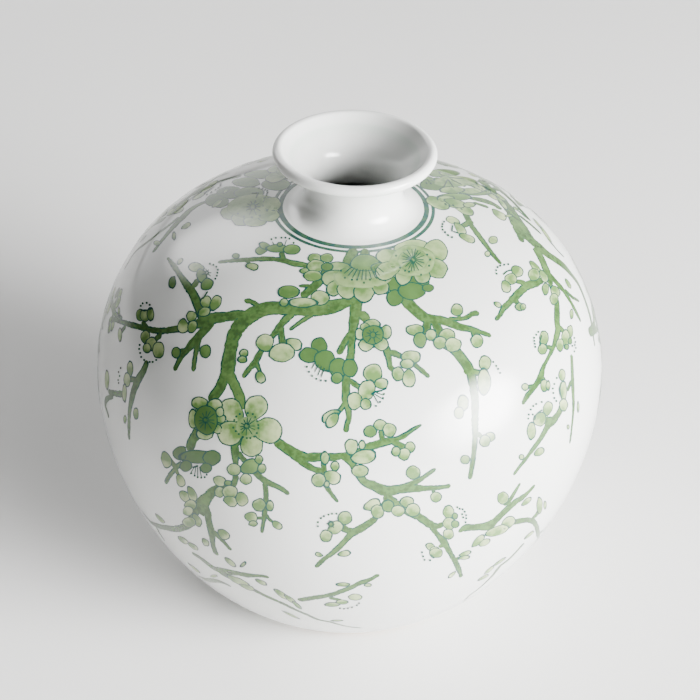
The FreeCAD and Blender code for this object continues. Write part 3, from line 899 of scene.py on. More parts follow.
# Blossoms and buds. Dabs are listed from the lowest to the highest, and a blossom's
# middle gives the way that the petals point.
BLOSSOMS = dict(
    front_fan=motif(
        mild(339, 267, 11, 5, 180), mild(335, 278, 13, 7.5, 175), mild(334, 288, 8, 7, 120),
        mild(347, 289, 10, 9, 110), mild(364, 290, 11, 9.5, 90), mild(380, 286, 9, 7.5, 50),
        wash(362, 277, 27, 10.5), green(365, 263, 14, 8), green(378, 268, 7, 5),
        middle=(365, 263),
        hairs=(
            hair(351, 268, 345, 273), hair(354, 269, 349, 275), hair(357, 270, 353, 277),
            hair(360, 271, 358, 278), hair(363, 271, 362, 279), hair(366, 271, 366, 279),
            hair(369, 271, 371, 278), hair(372, 270, 375, 277), hair(375, 269, 379, 275),
            hair(378, 268, 383, 272),
        ),
        dots=((341, 271), (345, 278), (352, 280), (357, 280), (364, 283), (370, 280), (377, 278)),
    ),
    top_blossom=motif(
        dark(419, 280, 10, 8.5), dark(393, 284, 8.5, 7), dark(395, 298, 8, 8), dark(412, 291, 13, 8),
        dark(428, 288, 6, 4), mild(413, 250, 18, 10), mild(434, 252, 13, 10.5, -20),
        mild(435, 268, 12, 9, 20), mild(421, 274, 10, 7.5, 60), mild(404, 274, 11, 8, 110),
        mild(390, 257, 13, 7.5, 185), mild(388, 270, 12, 8.5, 160), wash(413, 261, 22, 14.5),
        wash(413, 260, 15, 10),
        middle=(413, 260),
        stars=((413, 260, 18, 3.0, 11, 2.6),),
        dots=(
            (400, 268), (405, 271), (409, 272), (396, 256), (427, 255), (430, 260), (429, 266), (421, 275),
        ),
    ),
    right_bough_buds=motif(
        (457, 310, 6, 6), (415, 330, 9, 5.5), green(420, 340, 6.5, 7.5), (431, 335, 5.5, 5.5),
        (447, 336, 8, 7), (440, 343, 7, 6), (453, 345, 8, 7), (477, 341, 6, 6.5),
    ),
    washed_buds=motif(
        (463, 403, 5.5, 8), (459, 413, 5, 6), (485, 363, 6, 7), (484, 382, 6.5, 13), (490, 437, 5, 5),
        (485, 441, 5.5, 6), (465, 459.5, 5, 4.5),
        dots=((493, 362), (496, 366), (498, 369), (500, 373)),
    ),
    stem_buds=motif((331, 416, 10, 5.5, 150), (332.5, 420, 8.5, 5.5, 128)),
    stem_blossom=motif(
        (373, 373, 9, 9), (381, 383.5, 7, 5.5), (367, 390, 10, 8, 110), (355, 401, 7.5, 8.5),
        (366, 404, 5.5, 5.5),
        middle=(372, 392),
        hairs=(
            ((372, 394, 2), (375, 392, 2)), ((375, 392, 2), (380, 391, 2)),
            ((380, 391, 1.5), (386, 389, 1.2)), hair(376, 395, 381, 398), hair(374, 396, 377, 401),
            hair(377, 393, 383, 395),
        ),
        dots=((384, 394), (383, 398), (380, 402), (376, 406), (371, 405)),
    ),
    back_view_blossom=motif(
        dark(319, 346, 8, 8), dark(309, 355, 9.5, 7.5), dark(325, 360, 10, 10), dark(338, 368, 9, 10),
        dark(350, 368, 7.5, 9), green(337, 378, 6, 5.5),
        hairs=(
            hair(315, 363, 313, 367), hair(318, 366, 316, 370), hair(321, 368, 319, 373),
            hair(324, 370, 322, 375), ((327, 371, 2.5), (331, 372, 2.5)),
        ),
        dots=((307, 367), (309, 372), (312.5, 376), (316.5, 379), (321, 380.5), (326, 381)),
    ),
    disc_blossom=motif(
        (373, 335, 12, 11), (372, 324, 8, 5), (386, 332, 5.5, 7), (381, 344, 7, 6.5), (366, 345, 7.5, 6),
        (360, 334, 5, 6), (365, 327, 5, 4), dark(373, 335, 10.5, 9),
        middle=(373, 335),
        stars=((373, 335, 9, 4, 7.5, 3.0),),
    ),
    stem_right_buds=motif((411, 357, 9.5, 6.5), (407, 364, 7, 5), (398, 374, 6, 7), (409, 378, 9, 6.5, 90)),
    trunk_left_buds=motif(green(205.5, 351.5, 5.5, 6.5), green(176, 352.5, 4.5, 5.5)),
    arm_buds=motif(
        (206, 302, 5.5, 6), (215.5, 303, 8, 5, -60), (204, 312, 6.5, 4.5, -20), (191.5, 316.5, 5.5, 5, -60),
        (183, 326, 7, 5.5, 90), (192.5, 327, 6.5, 4.5, -70),
        hairs=(((207, 293, 1.5), (204.5, 297, 1.5)),),
    ),
    left_blossom=motif(
        (196.5, 267.5, 8, 4.5, -170), green(201.5, 275.5, 7.5, 5, 70), green(207, 284.5, 6.5, 5.5, -45),
        (180, 261.5, 4, 2.2, -50), green(172.5, 282, 6, 3.6, 100),
        stars=((207, 273, 7, 1.5, 4.2, 1.8),),
        dots=((210, 264), (213.5, 265), (216.5, 267), (218, 270), (217.5, 273), (217, 276), (215.5, 279)),
    ),
    far_left_blossoms=motif(
        (140, 315, 4, 6), (145, 315.5, 5, 6), (150.5, 314, 3.5, 6.5), (145.5, 337, 4.5, 6.5),
        (151.5, 344, 5.5, 6.5), (147, 348, 4, 5), (158.5, 350, 5.5, 8), (119, 312, 2, 5), (120, 335, 3, 7),
        hairs=(((142, 310, 1.5), (145, 311, 1.5), (151, 309, 1.5)),),
        dots=(
            (141, 306), (143, 303.5), (147, 303), (150, 305), (140, 345), (139.5, 349), (140.5, 353),
            (141.5, 357), (144.5, 360), (148, 363), (150, 362), (153, 362), (156.5, 360),
        ),
    ),
    left_tree_buds=motif(
        (136, 413.5, 3, 5.5), (125, 419.5, 2.3, 4), (130, 369, 3.5, 8), (127, 380, 4, 7),
        (124.5, 393, 3, 9), (107, 380, 4.5, 9),
        dots=((119, 372), (120, 376), (118.5, 380), (119, 383), (121, 368)),
    ),
    upper_blossom=motif(
        green(262, 250, 6.5, 4, 160), green(265.5, 246, 6.5, 3.5, -160), green(277, 248.5, 11, 4),
        green(292, 249.5, 8.5, 4.8), green(280, 244.5, 3, 2.5), green(236, 256, 3.8, 2.8),
        (252, 266.5, 6.5, 3.5, 10),
        hairs=(((274, 245, 1), (273, 243, 1)), ((285, 245, 1), (286, 242, 1))),
        dots=((271.5, 239.5), (276, 238.2), (281.5, 238), (285.5, 238), (289.5, 239), (293.7, 243.2)),
    ),
    upper_buds=motif(
        (315, 258, 7, 4.5), (327, 258, 6.5, 4.5), (316, 266, 9, 6), (304.5, 271, 5, 3), (313, 276, 9, 5.5),
        dark(327, 267, 6, 4),
    ),
    trunk_buds=motif(
        (320, 298, 9, 7), (302.5, 302.5, 14, 5), (284, 302.5, 4.3, 4.3), green(288.5, 292, 10.5, 6.5),
    ),
    sub_branch_buds=motif(
        (265, 342.5, 8.5, 8.5), (294, 344, 8, 6, 30), (282, 353, 12, 9), (244, 353, 4.5, 4),
        (242.5, 359.5, 5, 3.8), (260.5, 377, 6.5, 4.8, 70),
    ),
    big_blossom=motif(
        (251.5, 444, 12, 10.5, 85), (232, 411, 12.5, 10.5, -140), (255.5, 408, 12.5, 10.5, -65),
        (267, 430, 14, 11.5, 10), (231, 433, 13, 11.5, 165), wash(247, 427, 11, 10),
        middle=(246.5, 426),
        stars=((247, 426, 12, 2.8, 7.5, 2.8),),
        dots=(
            (234.5, 420), (233.5, 427.5), (236, 431), (239, 434), (243, 437), (247, 438), (250.5, 438),
            (254.5, 436.5), (257, 433), (258.5, 428), (258.5, 425), (257.5, 421), (255.5, 417), (253, 414),
            (248, 413), (240, 414), (236.5, 416.5),
        ),
    ),
    dark_blossom=motif(
        green(207, 419, 15, 15), (199.5, 403, 8, 6), (193.5, 419, 5, 9.5), (205, 434, 8.5, 6),
        (217, 429, 4.5, 5), (221, 419, 5, 4.5), (215, 405, 7.5, 6), (220, 412, 4, 5),
        dark(206, 420, 11, 14),
        middle=(206, 420),
        stars=((206, 420, 12, 3, 8, 3.0),),
    ),
    low_dark_blossom=motif(
        dark(180, 453, 7, 6.5, 120), dark(197, 457, 18, 6.5), dark(212, 458, 8.5, 7.5),
        dark(186, 466, 6, 5.5), dark(206, 468, 6, 5),
        hairs=(
            ((194, 467, 2), (197, 466, 2)), ((194, 468, 1), (191.5, 472, 1)),
            ((196, 468, 1), (195, 474, 1)), ((198, 468, 1), (198, 476, 1)),
            ((200, 468, 1), (201.5, 476, 1)),
        ),
        dots=((191.5, 473), (195, 475.5), (198, 477), (201.5, 477.5), (205, 477), (207, 474.5)),
    ),
    low_twig_buds=motif((166, 459.5, 8, 4.8, 75), (180.5, 480.5, 6.5, 4, 65)),
    low_cluster=motif(
        (234, 469.5, 7, 6), green(249.5, 467, 9.5, 7, -20), (259, 459.5, 4.2, 4.5), (262, 468.5, 4.3, 4.8),
        (246, 479, 6, 5.5),
    ),
    low_buds=motif(
        (219.5, 481, 6.5, 5, 25), green(228, 483, 4, 3), (219.5, 492, 4.7, 5.5), (230, 492, 7.5, 6.5),
        (230.5, 501, 7, 5, 25), (242, 499, 7, 6, 60), (223.5, 534, 6.5, 4.5, 40),
        (205.5, 542, 4.5, 3.5, 50),
    ),
    low_left_petals=motif(
        (184.5, 496, 6.5, 4.5, 50), (192, 494, 8, 4, 65), (190.5, 505, 6, 5), (188, 511, 5, 4.5),
        (197, 520, 7, 4, 60), (189, 522, 6.5, 5), (160, 518.5, 6.5, 3.5, 45), (183, 540, 6, 4, 35),
        (193, 546, 6, 3.5, 35),
    ),
    sprig_buds=motif(
        (259, 505, 6.5, 6), (270, 506, 4, 5.5), (251, 517, 6.5, 4.8, 10), (253, 523.5, 4.5, 3),
        (277, 525, 6, 3.6, 35),
    ),
    centre_buds=motif(
        (325, 458, 4.5, 6.5), (335, 466, 4.5, 5), (332, 477, 8.5, 6.5, 20), (318.5, 480, 6.8, 6.8),
        (327, 484, 3, 3.5),
    ),
    centre_cluster=motif(
        (351.5, 447, 8, 6.5, -90), (362, 445, 3.5, 5), (363, 457, 12.5, 7, -10), (360, 471, 8.5, 6),
    ),
    centre_trio=motif(
        green(370.5, 431.5, 6.5, 6), (380, 425, 6.5, 5.5), (389.5, 430, 6.5, 7), (410, 447, 5, 5.5),
        (404, 454, 6, 6), (396, 451.5, 4.5, 5),
        hairs=(((396, 437, 1.2), (403, 434, 1.2), (411, 430, 1)),),
    ),
    lower_right_buds=motif(
        (413, 472.5, 6.8, 6.8), (436, 497, 5.5, 5), (372, 505, 8.5, 5.5, -20), (377.5, 511.5, 6.5, 7),
        green(388, 506, 6, 6), (398, 511, 6.5, 5.5), (407, 502, 7, 5.5), (413, 510, 7, 6.5),
    ),
    lower_sprig=motif(
        (319, 554.5, 4.2, 2.3, -160), (344, 553.5, 6.5, 3, -10), (345, 518, 7, 6.5), (335, 528, 8, 6, -30),
        (326, 536, 6, 6), green(331, 524, 3, 3),
        dots=((318, 526), (318, 522), (321, 518), (324, 516), (328.5, 514.5), (332, 513.5), (336.5, 513.5)),
        stars=((331, 524, 6, 2, 4, 2.2),),
    ),
    right_sprig_blossom=motif(
        (448.5, 512, 5.5, 6.5), (449, 523.5, 6, 6), (448.5, 534, 5.5, 5), green(455, 516, 3, 3.5),
        green(455, 524, 4, 4),
        dots=(
            (457, 507), (459.5, 508.5), (462.5, 509), (464.5, 511.5), (462, 514), (466, 515), (466, 518),
            (465.5, 522), (463, 517),
        ),
    ),
    right_sprig_buds=motif(
        (431, 547, 5.5, 3.5, -150), (434.5, 550.5, 5, 4), (436, 553, 6.5, 5), (465, 553.5, 6.5, 2.5, -20),
        (464, 557.5, 6, 2.3, -8), (452, 574.5, 4.8, 2.2, 140),
        hairs=(((431, 555, 2), (433, 557, 2)),),
        dots=((422, 552), (423, 556), (424.5, 559.5), (430, 560)),
    ),
    bottom_left_buds=motif(
        (230, 562, 7, 3, 40), (243, 564.5, 4.5, 2, -40), (261, 582, 6, 2.8, 25), (238, 581, 12, 4.5, 25),
        (247, 587, 8, 3.5, 20), (194, 568, 8, 3.5, 40), (214, 576, 5, 2.5),
    ),
    bottom_run_buds=motif(
        (281, 594, 8, 3.5, 35), (290, 599, 7, 3, 35), (297, 605, 6, 2.5, 40), (291, 615, 9, 2.5, 25),
        (337, 620.5, 6, 2),
    ),
    bottom_centre_buds=motif(
        (343, 584.5, 7, 2.3), (368, 585, 4, 2), (355, 597, 6.5, 4), (332, 604.5, 7.5, 3), (342, 602, 6, 3),
        dots=((340, 608), (344, 608.5), (348, 608), (352, 607), (357, 605), (359, 603)),
    ),
    right_shoulder_blossom=motif(
        (453, 220.5, 7, 4, -160), (460, 229, 8, 4, 50), (467, 238, 8.5, 3.8, 25), (493, 240, 4.5, 4),
        (487.5, 254, 3, 3),
        hairs=(((452.5, 226.5, 1.5), (452, 230, 1.5)), ((454, 232, 1.5), (457, 233, 1.5))),
        dots=(
            (444, 222), (442.5, 224.5), (442, 227), (442.5, 230), (445, 232.5), (448, 235.5), (452, 237.5),
        ),
    ),
    right_back_cluster=motif(
        dark(436, 184, 15, 9), green(444, 173, 16, 8), green(478, 192, 13, 6), mild(452, 166, 9, 5),
        mild(474, 184, 13, 6, 30), mild(470, 191, 12, 5), mild(452, 190, 12, 5), wash(456, 181, 20, 10),
        green(455, 197, 16, 5), mild(446, 199, 9, 4), mild(455, 203, 11, 5, 15), mild(469, 205, 6, 3.5),
        hairs=(
            hair(452, 180, 460, 184), hair(451, 178, 462, 179), hair(449, 181, 453, 187),
            hair(447, 181, 444, 187),
        ),
    ),
    right_back_petals=motif(
        (492, 196, 8, 3.5, 30), (502, 203, 9, 3, 50), (499, 214.5, 8, 5, 35), (509, 216, 4, 2),
        (545, 233, 12, 3, 55), (537, 223, 6, 2.5, 50),
    ),
    right_middle_buds=motif(
        (535, 267, 8, 3.5, 50), (534, 274.5, 5.5, 6), (543.5, 276, 7, 3.8, 60), (545.5, 289, 3.5, 6),
        (555, 291, 6, 5, 60), (554, 299, 4, 5.5), (519.5, 307, 4.5, 4), (523, 307, 3, 3.5),
        (497.5, 304.5, 4.3, 2.6, 30),
    ),
    right_middle_blossom=motif(
        (517, 271, 6.5, 5, 40), (511, 279, 6, 5.5), (506, 286.5, 6.5, 4.5, 70),
        hairs=(((504, 274, 1.6), (507, 271.5, 1.6), (510.5, 270.5, 1.6)),),
        dots=((504, 265), (500, 266), (497.5, 267.5), (496, 270.5), (496.5, 274), (508, 264.5)),
    ),
    right_stem_blossoms=motif(
        (544, 338, 4.5, 7), (542.5, 349, 4.5, 5.5), (570, 331.5, 3.5, 6.5), (565.5, 338, 4.5, 8),
        (560, 345, 3.8, 6.5), green(570, 341, 2.5, 3.5), green(566.5, 347, 3, 3),
        hairs=(((541, 337, 1.5), (539.5, 342, 1.5), (540, 345, 1.5)),),
        dots=(
            (538, 332), (536, 335), (534, 338), (534, 341), (534.5, 344), (535, 347), (574, 338),
            (575, 342), (574.5, 345), (575.5, 348), (574, 351.5), (572, 346),
        ),
    ),
    right_stem_buds=motif(
        (568, 283.5, 5.5, 3, 60), (571.5, 314, 2.5, 5), (578, 407, 1.8, 5.5), (568, 427, 1.8, 2.5),
        (525, 387, 3.8, 3.8), (544, 385.5, 3.8, 6), (548, 385.5, 2.3, 5),
    ),
    right_low_blossom=motif(
        (562, 375, 3.5, 6), (563.5, 391, 3.5, 10), (563.5, 405, 4.5, 6),
        hairs=(((560.5, 384, 1.5), (559, 389, 1.5), (559.5, 393, 1.5), (561, 397, 1.5)),),
        dots=((554, 384), (552.5, 388.5), (553, 393), (554, 398), (556, 401), (556.5, 378)),
    ),
    right_low_petals=motif(
        (547.5, 409, 7.5, 4.5, -70), (540, 419, 7, 6, 120), (531.5, 431, 4.3, 8.5),
        (539, 452, 5.5, 3.5, -35), (521.5, 457, 2.7, 3),
        hairs=(((541, 410.5, 1.5), (538, 412.5, 1.5), (535.5, 415, 1.5), (534.5, 419, 1.5)),),
        dots=(
            (541.5, 402), (536, 404), (533, 406), (530.5, 409.5), (528.5, 414.5), (532.5, 414.5),
            (528, 418.5),
        ),
    ),
    bottom_right_buds=motif(
        (503, 498, 5.5, 6), (526.5, 501.5, 6, 3, -40), (508, 523, 8, 6, -40), (497, 531, 12, 5, -20),
        (478, 541, 8, 3.5, -45), (484.5, 542.5, 6, 3.5, -30), (539.5, 506, 4, 9), (545, 505, 2.5, 5),
        (529, 535, 6, 3.2, -40), (499, 562, 8, 2.5, -35), (489, 570, 6, 3, -40), (483, 577.5, 6, 3, -30),
    ),
    left_back_cluster=motif(
        green(262, 174, 17, 8), green(276, 184, 13, 9), green(246, 182, 13, 8), dark(217, 200, 11, 10),
        dark(230, 192, 12, 9), green(249, 193, 14, 8), mild(231, 213, 10, 7.5), mild(242, 219, 10, 7),
        mild(255, 221, 11, 6), mild(268, 215, 11, 7), mild(272, 204, 9, 8), wash(253, 206, 25, 13.5),
        stars=((253, 207, 10, 3, 7, 3.0),),
        dots=((238, 214), (244, 217), (252, 217.5), (260, 216), (267, 211)),
    ),
    left_back_buds=motif((186, 226, 5.5, 3.2, -30), (174, 236, 2, 5), (157, 243, 4, 3)),
)

# Sprigs that are painted again on the two sides, which the photo doesn't show: the
# branches, the blossoms that they carry and how far round each copy is, in degrees
SIDE_SPRIGS = (
    (
        "lower_right",
        ("lower_right_buds", "lower_sprig", "right_sprig_blossom", "right_sprig_buds"),
        (80, -100),
    ),
    ("lower_centre", ("centre_buds", "centre_cluster", "centre_trio"), (92, -88)),
)


class PhotoEye:
    """Finds where a point of the photo lies on the painted side."""

    # Each step on a ray, how often the last one is halved, and how a point past the
    # silhouette is drawn in towards a point near the middle, step by step
    STEP = 2.0 * MM
    HALVINGS = 18
    DRAWS = 40
    DRAWN = 0.01
    TOWARDS = (351.0, 370.0)

    # How far over the neck's narrowest line a ray starts
    HEADROOM = 20.0 * MM

    def __init__(self, view, lines, pixels=700):
        frame_of_camera = camera_frame(view)
        self.lines = lines
        self.eye = frame_of_camera.translation
        self.axes = frame_of_camera.to_3x3()
        self.focal = view.lens / view.sensor * pixels
        self.middle = pixels / 2
        self.top = lines.neck_height + self.HEADROOM

    def outside(self, point):
        if point.z > self.lines.neck_height:
            return math.hypot(point.x, point.y) - self.lines.form.neck_diameter / 2
        return math.hypot(point.x, point.y) - self.lines.outer_radius(point.z)

    def along(self, across, down):
        ray = Vector(((across - self.middle) / self.focal, (self.middle - down) / self.focal, -1.0))
        return (self.axes @ ray).normalized()

    def spot(self, across, down):
        """The surface point seen here; a point past the silhouette is drawn in to it."""
        for _ in range(self.DRAWS):
            ray = self.along(across, down)
            reach = (self.top - self.eye.z) / ray.z
            while (self.eye + ray * reach).z > self.lines.form.foot_height + MM:
                if self.outside(self.eye + ray * (reach + self.STEP)) < 0:
                    near, far = reach, reach + self.STEP
                    for _ in range(self.HALVINGS):
                        half = (near + far) / 2
                        near, far = (near, half) if self.outside(self.eye + ray * half) < 0 else (half, far)
                    return self.eye + ray * far
                reach += self.STEP
            across += (self.TOWARDS[0] - across) * self.DRAWN
            down += (self.TOWARDS[1] - down) * self.DRAWN
        return None


def smooth_path(points, spacing):
    """A curve through given points, each with its width, at an even spacing."""
    points = [np.array(point, dtype=float) for point in points]
    ends = [2 * points[0] - points[1], *points, 2 * points[-1] - points[-2]]
    path = []
    for before, first, second, after in zip(ends, ends[1:], ends[2:], ends[3:]):
        count = max(1, round(np.linalg.norm((second - first)[:2]) / spacing))
        for i in range(count):
            t = i / count
            bend = 2 * first + (second - before) * t
            bend = bend + (2 * before - 5 * first + 4 * second - after) * t ** 2
            path.append(0.5 * (bend + (3 * first - before - 3 * second + after) * t ** 3))
    path.append(points[-1])
    return path


# Paint on the surface


DAB_INPUTS = {"Ground": "NodeSocketObject", "Material": "NodeSocketMaterial", "Wobble": "NodeSocketFloat"}
STROKE_INPUTS = {
    **DAB_INPUTS, "Spacing": "NodeSocketFloat", "Edge": "NodeSocketFloat", "Columns": "NodeSocketInt"
}

# The least half width of a stroke, in metres, and of its ends, as a share of its own
LEAST_HALF_WIDTH = 0.00006
LEAST_END = 0.25

# A stroke's sides waver slowly and are ragged: how fine each noise is, and how far the
# ragged one swings and lies inward, as shares of the stroke's edge
SLOW_NOISE = 260.0
RAGGED_NOISE = 750.0
RAGGED_SWING = 2.6
RAGGED_FALL = 0.55

# A dab starts as a disc of rings that crowd outward by this power, and its rim wavers
# with noise this fine, read off the disc at this size
RING_POWER = 0.8
RIM_NOISE = 1.5
RIM_READING = 0.9
DISC_MERGE_REACH = 0.001


def stroke_tree():
    """Lays each drawn line on the glaze as a brush stroke with uneven sides and rounded ends."""
    tree = FormTree("painted_strokes", STROKE_INPUTS)
    curve = tree.out("GeometryNodeMeshToCurve", {"Mesh": tree.given["Geometry"]})
    sockets = {"Curve": curve, "Length": tree.given["Spacing"]}
    curve = tree.out("GeometryNodeResampleCurve", sockets, mode="LENGTH")
    place = tree.place()
    tangent = tree.out("GeometryNodeInputTangent")
    _, facing = tree.ground(tree.given["Ground"])
    side = tree.vector("NORMALIZE", tree.vector("CROSS_PRODUCT", facing, tangent))
    so_far = Value(tree, tree.add("GeometryNodeSplineParameter").outputs["Length"])
    whole = tree.value("GeometryNodeSplineLength")
    cyclic = tree.value("GeometryNodeInputSplineCyclic")
    half = tree.attribute("half_width")
    from_end = so_far.least(whole - so_far) / half.most(0.00001)
    blunt = 1.0 - from_end.least(1.0).most(0.0)
    rounding = (1.0 - blunt * blunt).root().most(LEAST_END).most(cyclic)
    slow = (tree.noise(SLOW_NOISE, 3.0) - 0.5) * tree.given_value("Wobble") * 2.0
    fast = tree.noise(RAGGED_NOISE, 1.0) * RAGGED_SWING - RAGGED_FALL
    width = (half * rounding * (1.0 + slow) + tree.given_value("Edge") * fast).most(LEAST_HALF_WIDTH)
    curve = tree.keep(curve, "place", place, "FLOAT_VECTOR")
    curve = tree.keep(curve, "side", side, "FLOAT_VECTOR")
    curve = tree.keep(curve, "width", width)
    brush = tree.out("GeometryNodeCurvePrimitiveLine", {0: (-1.0, 0.0, 0.0), 1: (1.0, 0.0, 0.0)})
    brush = tree.out("GeometryNodeResampleCurve", {"Curve": brush, "Count": tree.given["Columns"]})
    brush = tree.keep(brush, "across", tree.parts(place)[0])
    sheet = tree.out("GeometryNodeCurveToMesh", {"Curve": curve, "Profile Curve": brush})
    reach = tree.attribute("width") * tree.attribute("across")
    off = tree.vector("SCALE", tree.attribute("side", "FLOAT_VECTOR"), scale=reach)
    sheet = tree.move(sheet, tree.vector("ADD", tree.attribute("place", "FLOAT_VECTOR"), off))
    tree.finish(tree.laid_on_ground(sheet))
    return tree


def stamp_tree(name, sides, rings):
    """Lays an oval dab of paint at each point, with its own two axes and an uneven rim."""
    tree = FormTree(name, DAB_INPUTS)
    sockets = {"Vertices X": sides + 1, "Vertices Y": rings + 1, "Size X": 1.0, "Size Y": 1.0}
    grid = tree.out("GeometryNodeMeshGrid", sockets)
    place = tree.place()
    along, up, _ = tree.parts(place)
    angle = (along + 0.5) * (2 * math.pi)
    radius = (up + 0.5) ** RING_POWER
    grid = tree.move(grid, tree.joined(radius * angle.cosine(), radius * angle.sine()))
    disc = tree.out("GeometryNodeMergeByDistance", {"Geometry": grid, "Distance": DISC_MERGE_REACH})
    u, v, _ = tree.parts(place)
    disc = tree.keep(tree.keep(disc, "u", u), "v", v)
    points = tree.out("GeometryNodeMeshToPoints", {"Mesh": tree.given["Geometry"]})
    dabs = tree.out("GeometryNodeInstanceOnPoints", {"Points": points, "Instance": disc})
    dabs = tree.out("GeometryNodeRealizeInstances", {"Geometry": dabs})
    u, v = tree.attribute("u"), tree.attribute("v")
    out = (u * u + v * v).root()
    swell = 1.0 + tree.attribute("egg") * u
    seeded = tree.joined(u * RIM_READING, v * RIM_READING, tree.attribute("seed"))
    uneven = tree.value("ShaderNodeTexNoise", {"Vector": seeded, "Scale": RIM_NOISE, "Detail": 1.0})
    grow = 1.0 + (uneven - 0.5) * tree.given_value("Wobble") * out
    long_way = tree.vector("SCALE", tree.attribute("long_axis", "FLOAT_VECTOR"), scale=u * grow)
    short_way = tree.vector("SCALE", tree.attribute("short_axis", "FLOAT_VECTOR"), scale=v * grow * swell)
    off = tree.vector("ADD", long_way, short_way)
    dabs = tree.move(dabs, tree.vector("ADD", tree.attribute("centre", "FLOAT_VECTOR"), off))
    tree.finish(tree.laid_on_ground(dabs))
    return tree


# The most that a pixel of the photo covers on the vase, where the vase is nearest
PIXEL = 0.46 * MM

# How far round the copies on the back reach, in degrees from the middle of the view
BACK_REACH = 84.0


class Painter:
    """Collects strokes and dabs from the photo and lays them on the vase."""

    # Pixels between the points of a stroke, and how far its ends are drawn out, as a
    # share of that
    POINT_SPACING = 4.0
    OVERSHOOT = 0.4

    # The most that a stroke's half width and a dab's half axis may be, as shares of
    # their sizes in the photo, where the surface is seen at a slant
    MOST_WIDTH = 0.9
    MOST_AXIS = 1.7

    # The least of a stroke that stays green within its dark edge, as a share of it
    LEAST_WASH = 0.25

    # Strokes lie at slightly different heights, so that none lies in another
    HEIGHTS = 9
    HEIGHT_STEP = 0.0004 * MM

    # How much a dab with a tip widens towards it
    EGG = 0.18

    # A face is an upper one where its normal and the glaze's agree by more than this
    AGREEMENT = 0.5

    def __init__(self, scene):
        self.paint = scene.vase_paint
        form = scene.vase_form
        self.lines = Lines(form, form.glaze_inset)
        self.eye = PhotoEye(scene.vase_view, self.lines)
        self.outline = self.lines.painted_side()
        seed = seed_object([(across, 0.0, up) for across, up in self.outline.points(1.2 * MM)])
        self.ground = turned_tree().make(seed, "ground", facets_round=form.facets_round)
        mesh = self.ground.data
        true = [part for vertex in mesh.vertices for part in self.lines.normal(vertex.co)]
        mesh.attributes.new("true_normal", "FLOAT_VECTOR", "POINT").data.foreach_set("vector", true)
        self.ground.hide_render = True

    def done(self):
        bpy.data.objects.remove(self.ground)

    def across_stroke(self, point, towards, width):
        """Half the stroke's true width at a point of the photo."""
        ahead = towards / max(ALMOST_NOTHING, np.linalg.norm(towards))
        spread = np.array((-ahead[1], ahead[0])) * width / 2
        run = (self.eye.spot(*(point + ahead)) - self.eye.spot(*point)).normalized()
        apart = self.eye.spot(*(point + spread)) - self.eye.spot(*(point - spread))
        true = (apart - run * apart.dot(run)).length / 2
        return min(true, self.MOST_WIDTH * width * PIXEL)

    def stroke(self, points):
        """The places and half widths of one stroke on the surface."""
        path = smooth_path(points, self.POINT_SPACING)
        path[0] = path[0] + (path[0] - path[1]) * self.OVERSHOOT
        path[-1] = path[-1] + (path[-1] - path[-2]) * self.OVERSHOOT
        found = []
        for i, item in enumerate(path):
            before, after = path[max(0, i - 1)], path[min(len(path) - 1, i + 1)]
            place = self.eye.spot(item[0], item[1])
            if place is not None:
                found.append((place, self.across_stroke(item[:2], (after - before)[:2], item[2])))
        return found

    def dab(self, across, down, long_half, short_half, turn=0.0):
        """The centre and the two half axes of an oval on the surface."""
        angle = math.radians(turn)
        middle = self.eye.spot(across, down)
        axes = []
        for reach, heading in ((long_half, angle), (short_half, angle + math.pi / 2)):
            step = np.array((math.cos(heading), math.sin(heading))) * reach / 2
            axis = self.eye.spot(across + step[0], down + step[1])
            axis = axis - self.eye.spot(across - step[0], down - step[1])
            most = self.MOST_AXIS * reach * PIXEL
            axes.append(axis if axis.length < most else axis * (most / axis.length))
        return middle, axes[0], axes[1]

    def stroke_seed(self, strokes, lift, shrink):
        points, edges, halves, lifts = [], [], [], []
        for number, run in enumerate(strokes):
            for i, (place, half) in enumerate(run):
                if i:
                    edges.append((len(points) - 1, len(points)))
                points.append(place)
                halves.append(max(half - shrink, self.LEAST_WASH * half))
                lifts.append(lift + self.HEIGHT_STEP * (number % self.HEIGHTS))
        return seed_object(points, edges, {"half_width": halves, "lift": lifts})

    def dab_seed(self, dabs):
        centres, long_axes, short_axes, lifts, tones, seeds, tips = zip(*dabs)
        numbers = {
            "lift": lifts,
            "tone": [tone[0] for tone in tones],
            "line": [tone[1] for tone in tones],
            "seed": seeds,
            "tip_u": [tip[0] for tip in tips],
            "tip_v": [tip[1] for tip in tips],
            "egg": [self.EGG * tip[0] for tip in tips],
            "breadth": [min(long.length, short.length) for long, short in zip(long_axes, short_axes)],
        }
        vectors = {"centre": centres, "long_axis": long_axes, "short_axis": short_axes}
        return seed_object(centres, (), numbers, vectors)

    def lay(self, tree, seed, name, material, **values):
        """Make the painted sheet, close it below and give it the glaze's own normals."""
        values.update(ground=self.ground, material=material)
        piece = tree.make(seed, name, self.paint.sink, **values)
        self.true_normals(piece.data)
        return settle(piece, material, "glazed_porcelain")

    def true_normals(self, mesh):
        """The glaze's normals on the upper faces, and the faces' own elsewhere."""
        vertex = read(mesh.loops, "vertex_index", kind=np.int32)
        spots = read(mesh.vertices, "co", 3)
        sizes = read(mesh.polygons, "loop_total", kind=np.int32)
        own = np.repeat(read(mesh.polygons, "normal", 3), sizes, axis=0)
        flat = radius_and_height(spots)
        normal = self.outline.normals(flat, flat)
        full = np.column_stack((normal[:, 0:1] * unit(spots[:, :2]), normal[:, 1]))[vertex]
        up = np.einsum("ij,ij->i", full, own) > self.AGREEMENT
        mesh.normals_split_custom_set(unit(np.where(up[:, None], full, own)).tolist())


def turned_by(point, degrees):
    """The same place further round the vase."""
    return Matrix.Rotation(math.radians(degrees), 3, "Z") @ point


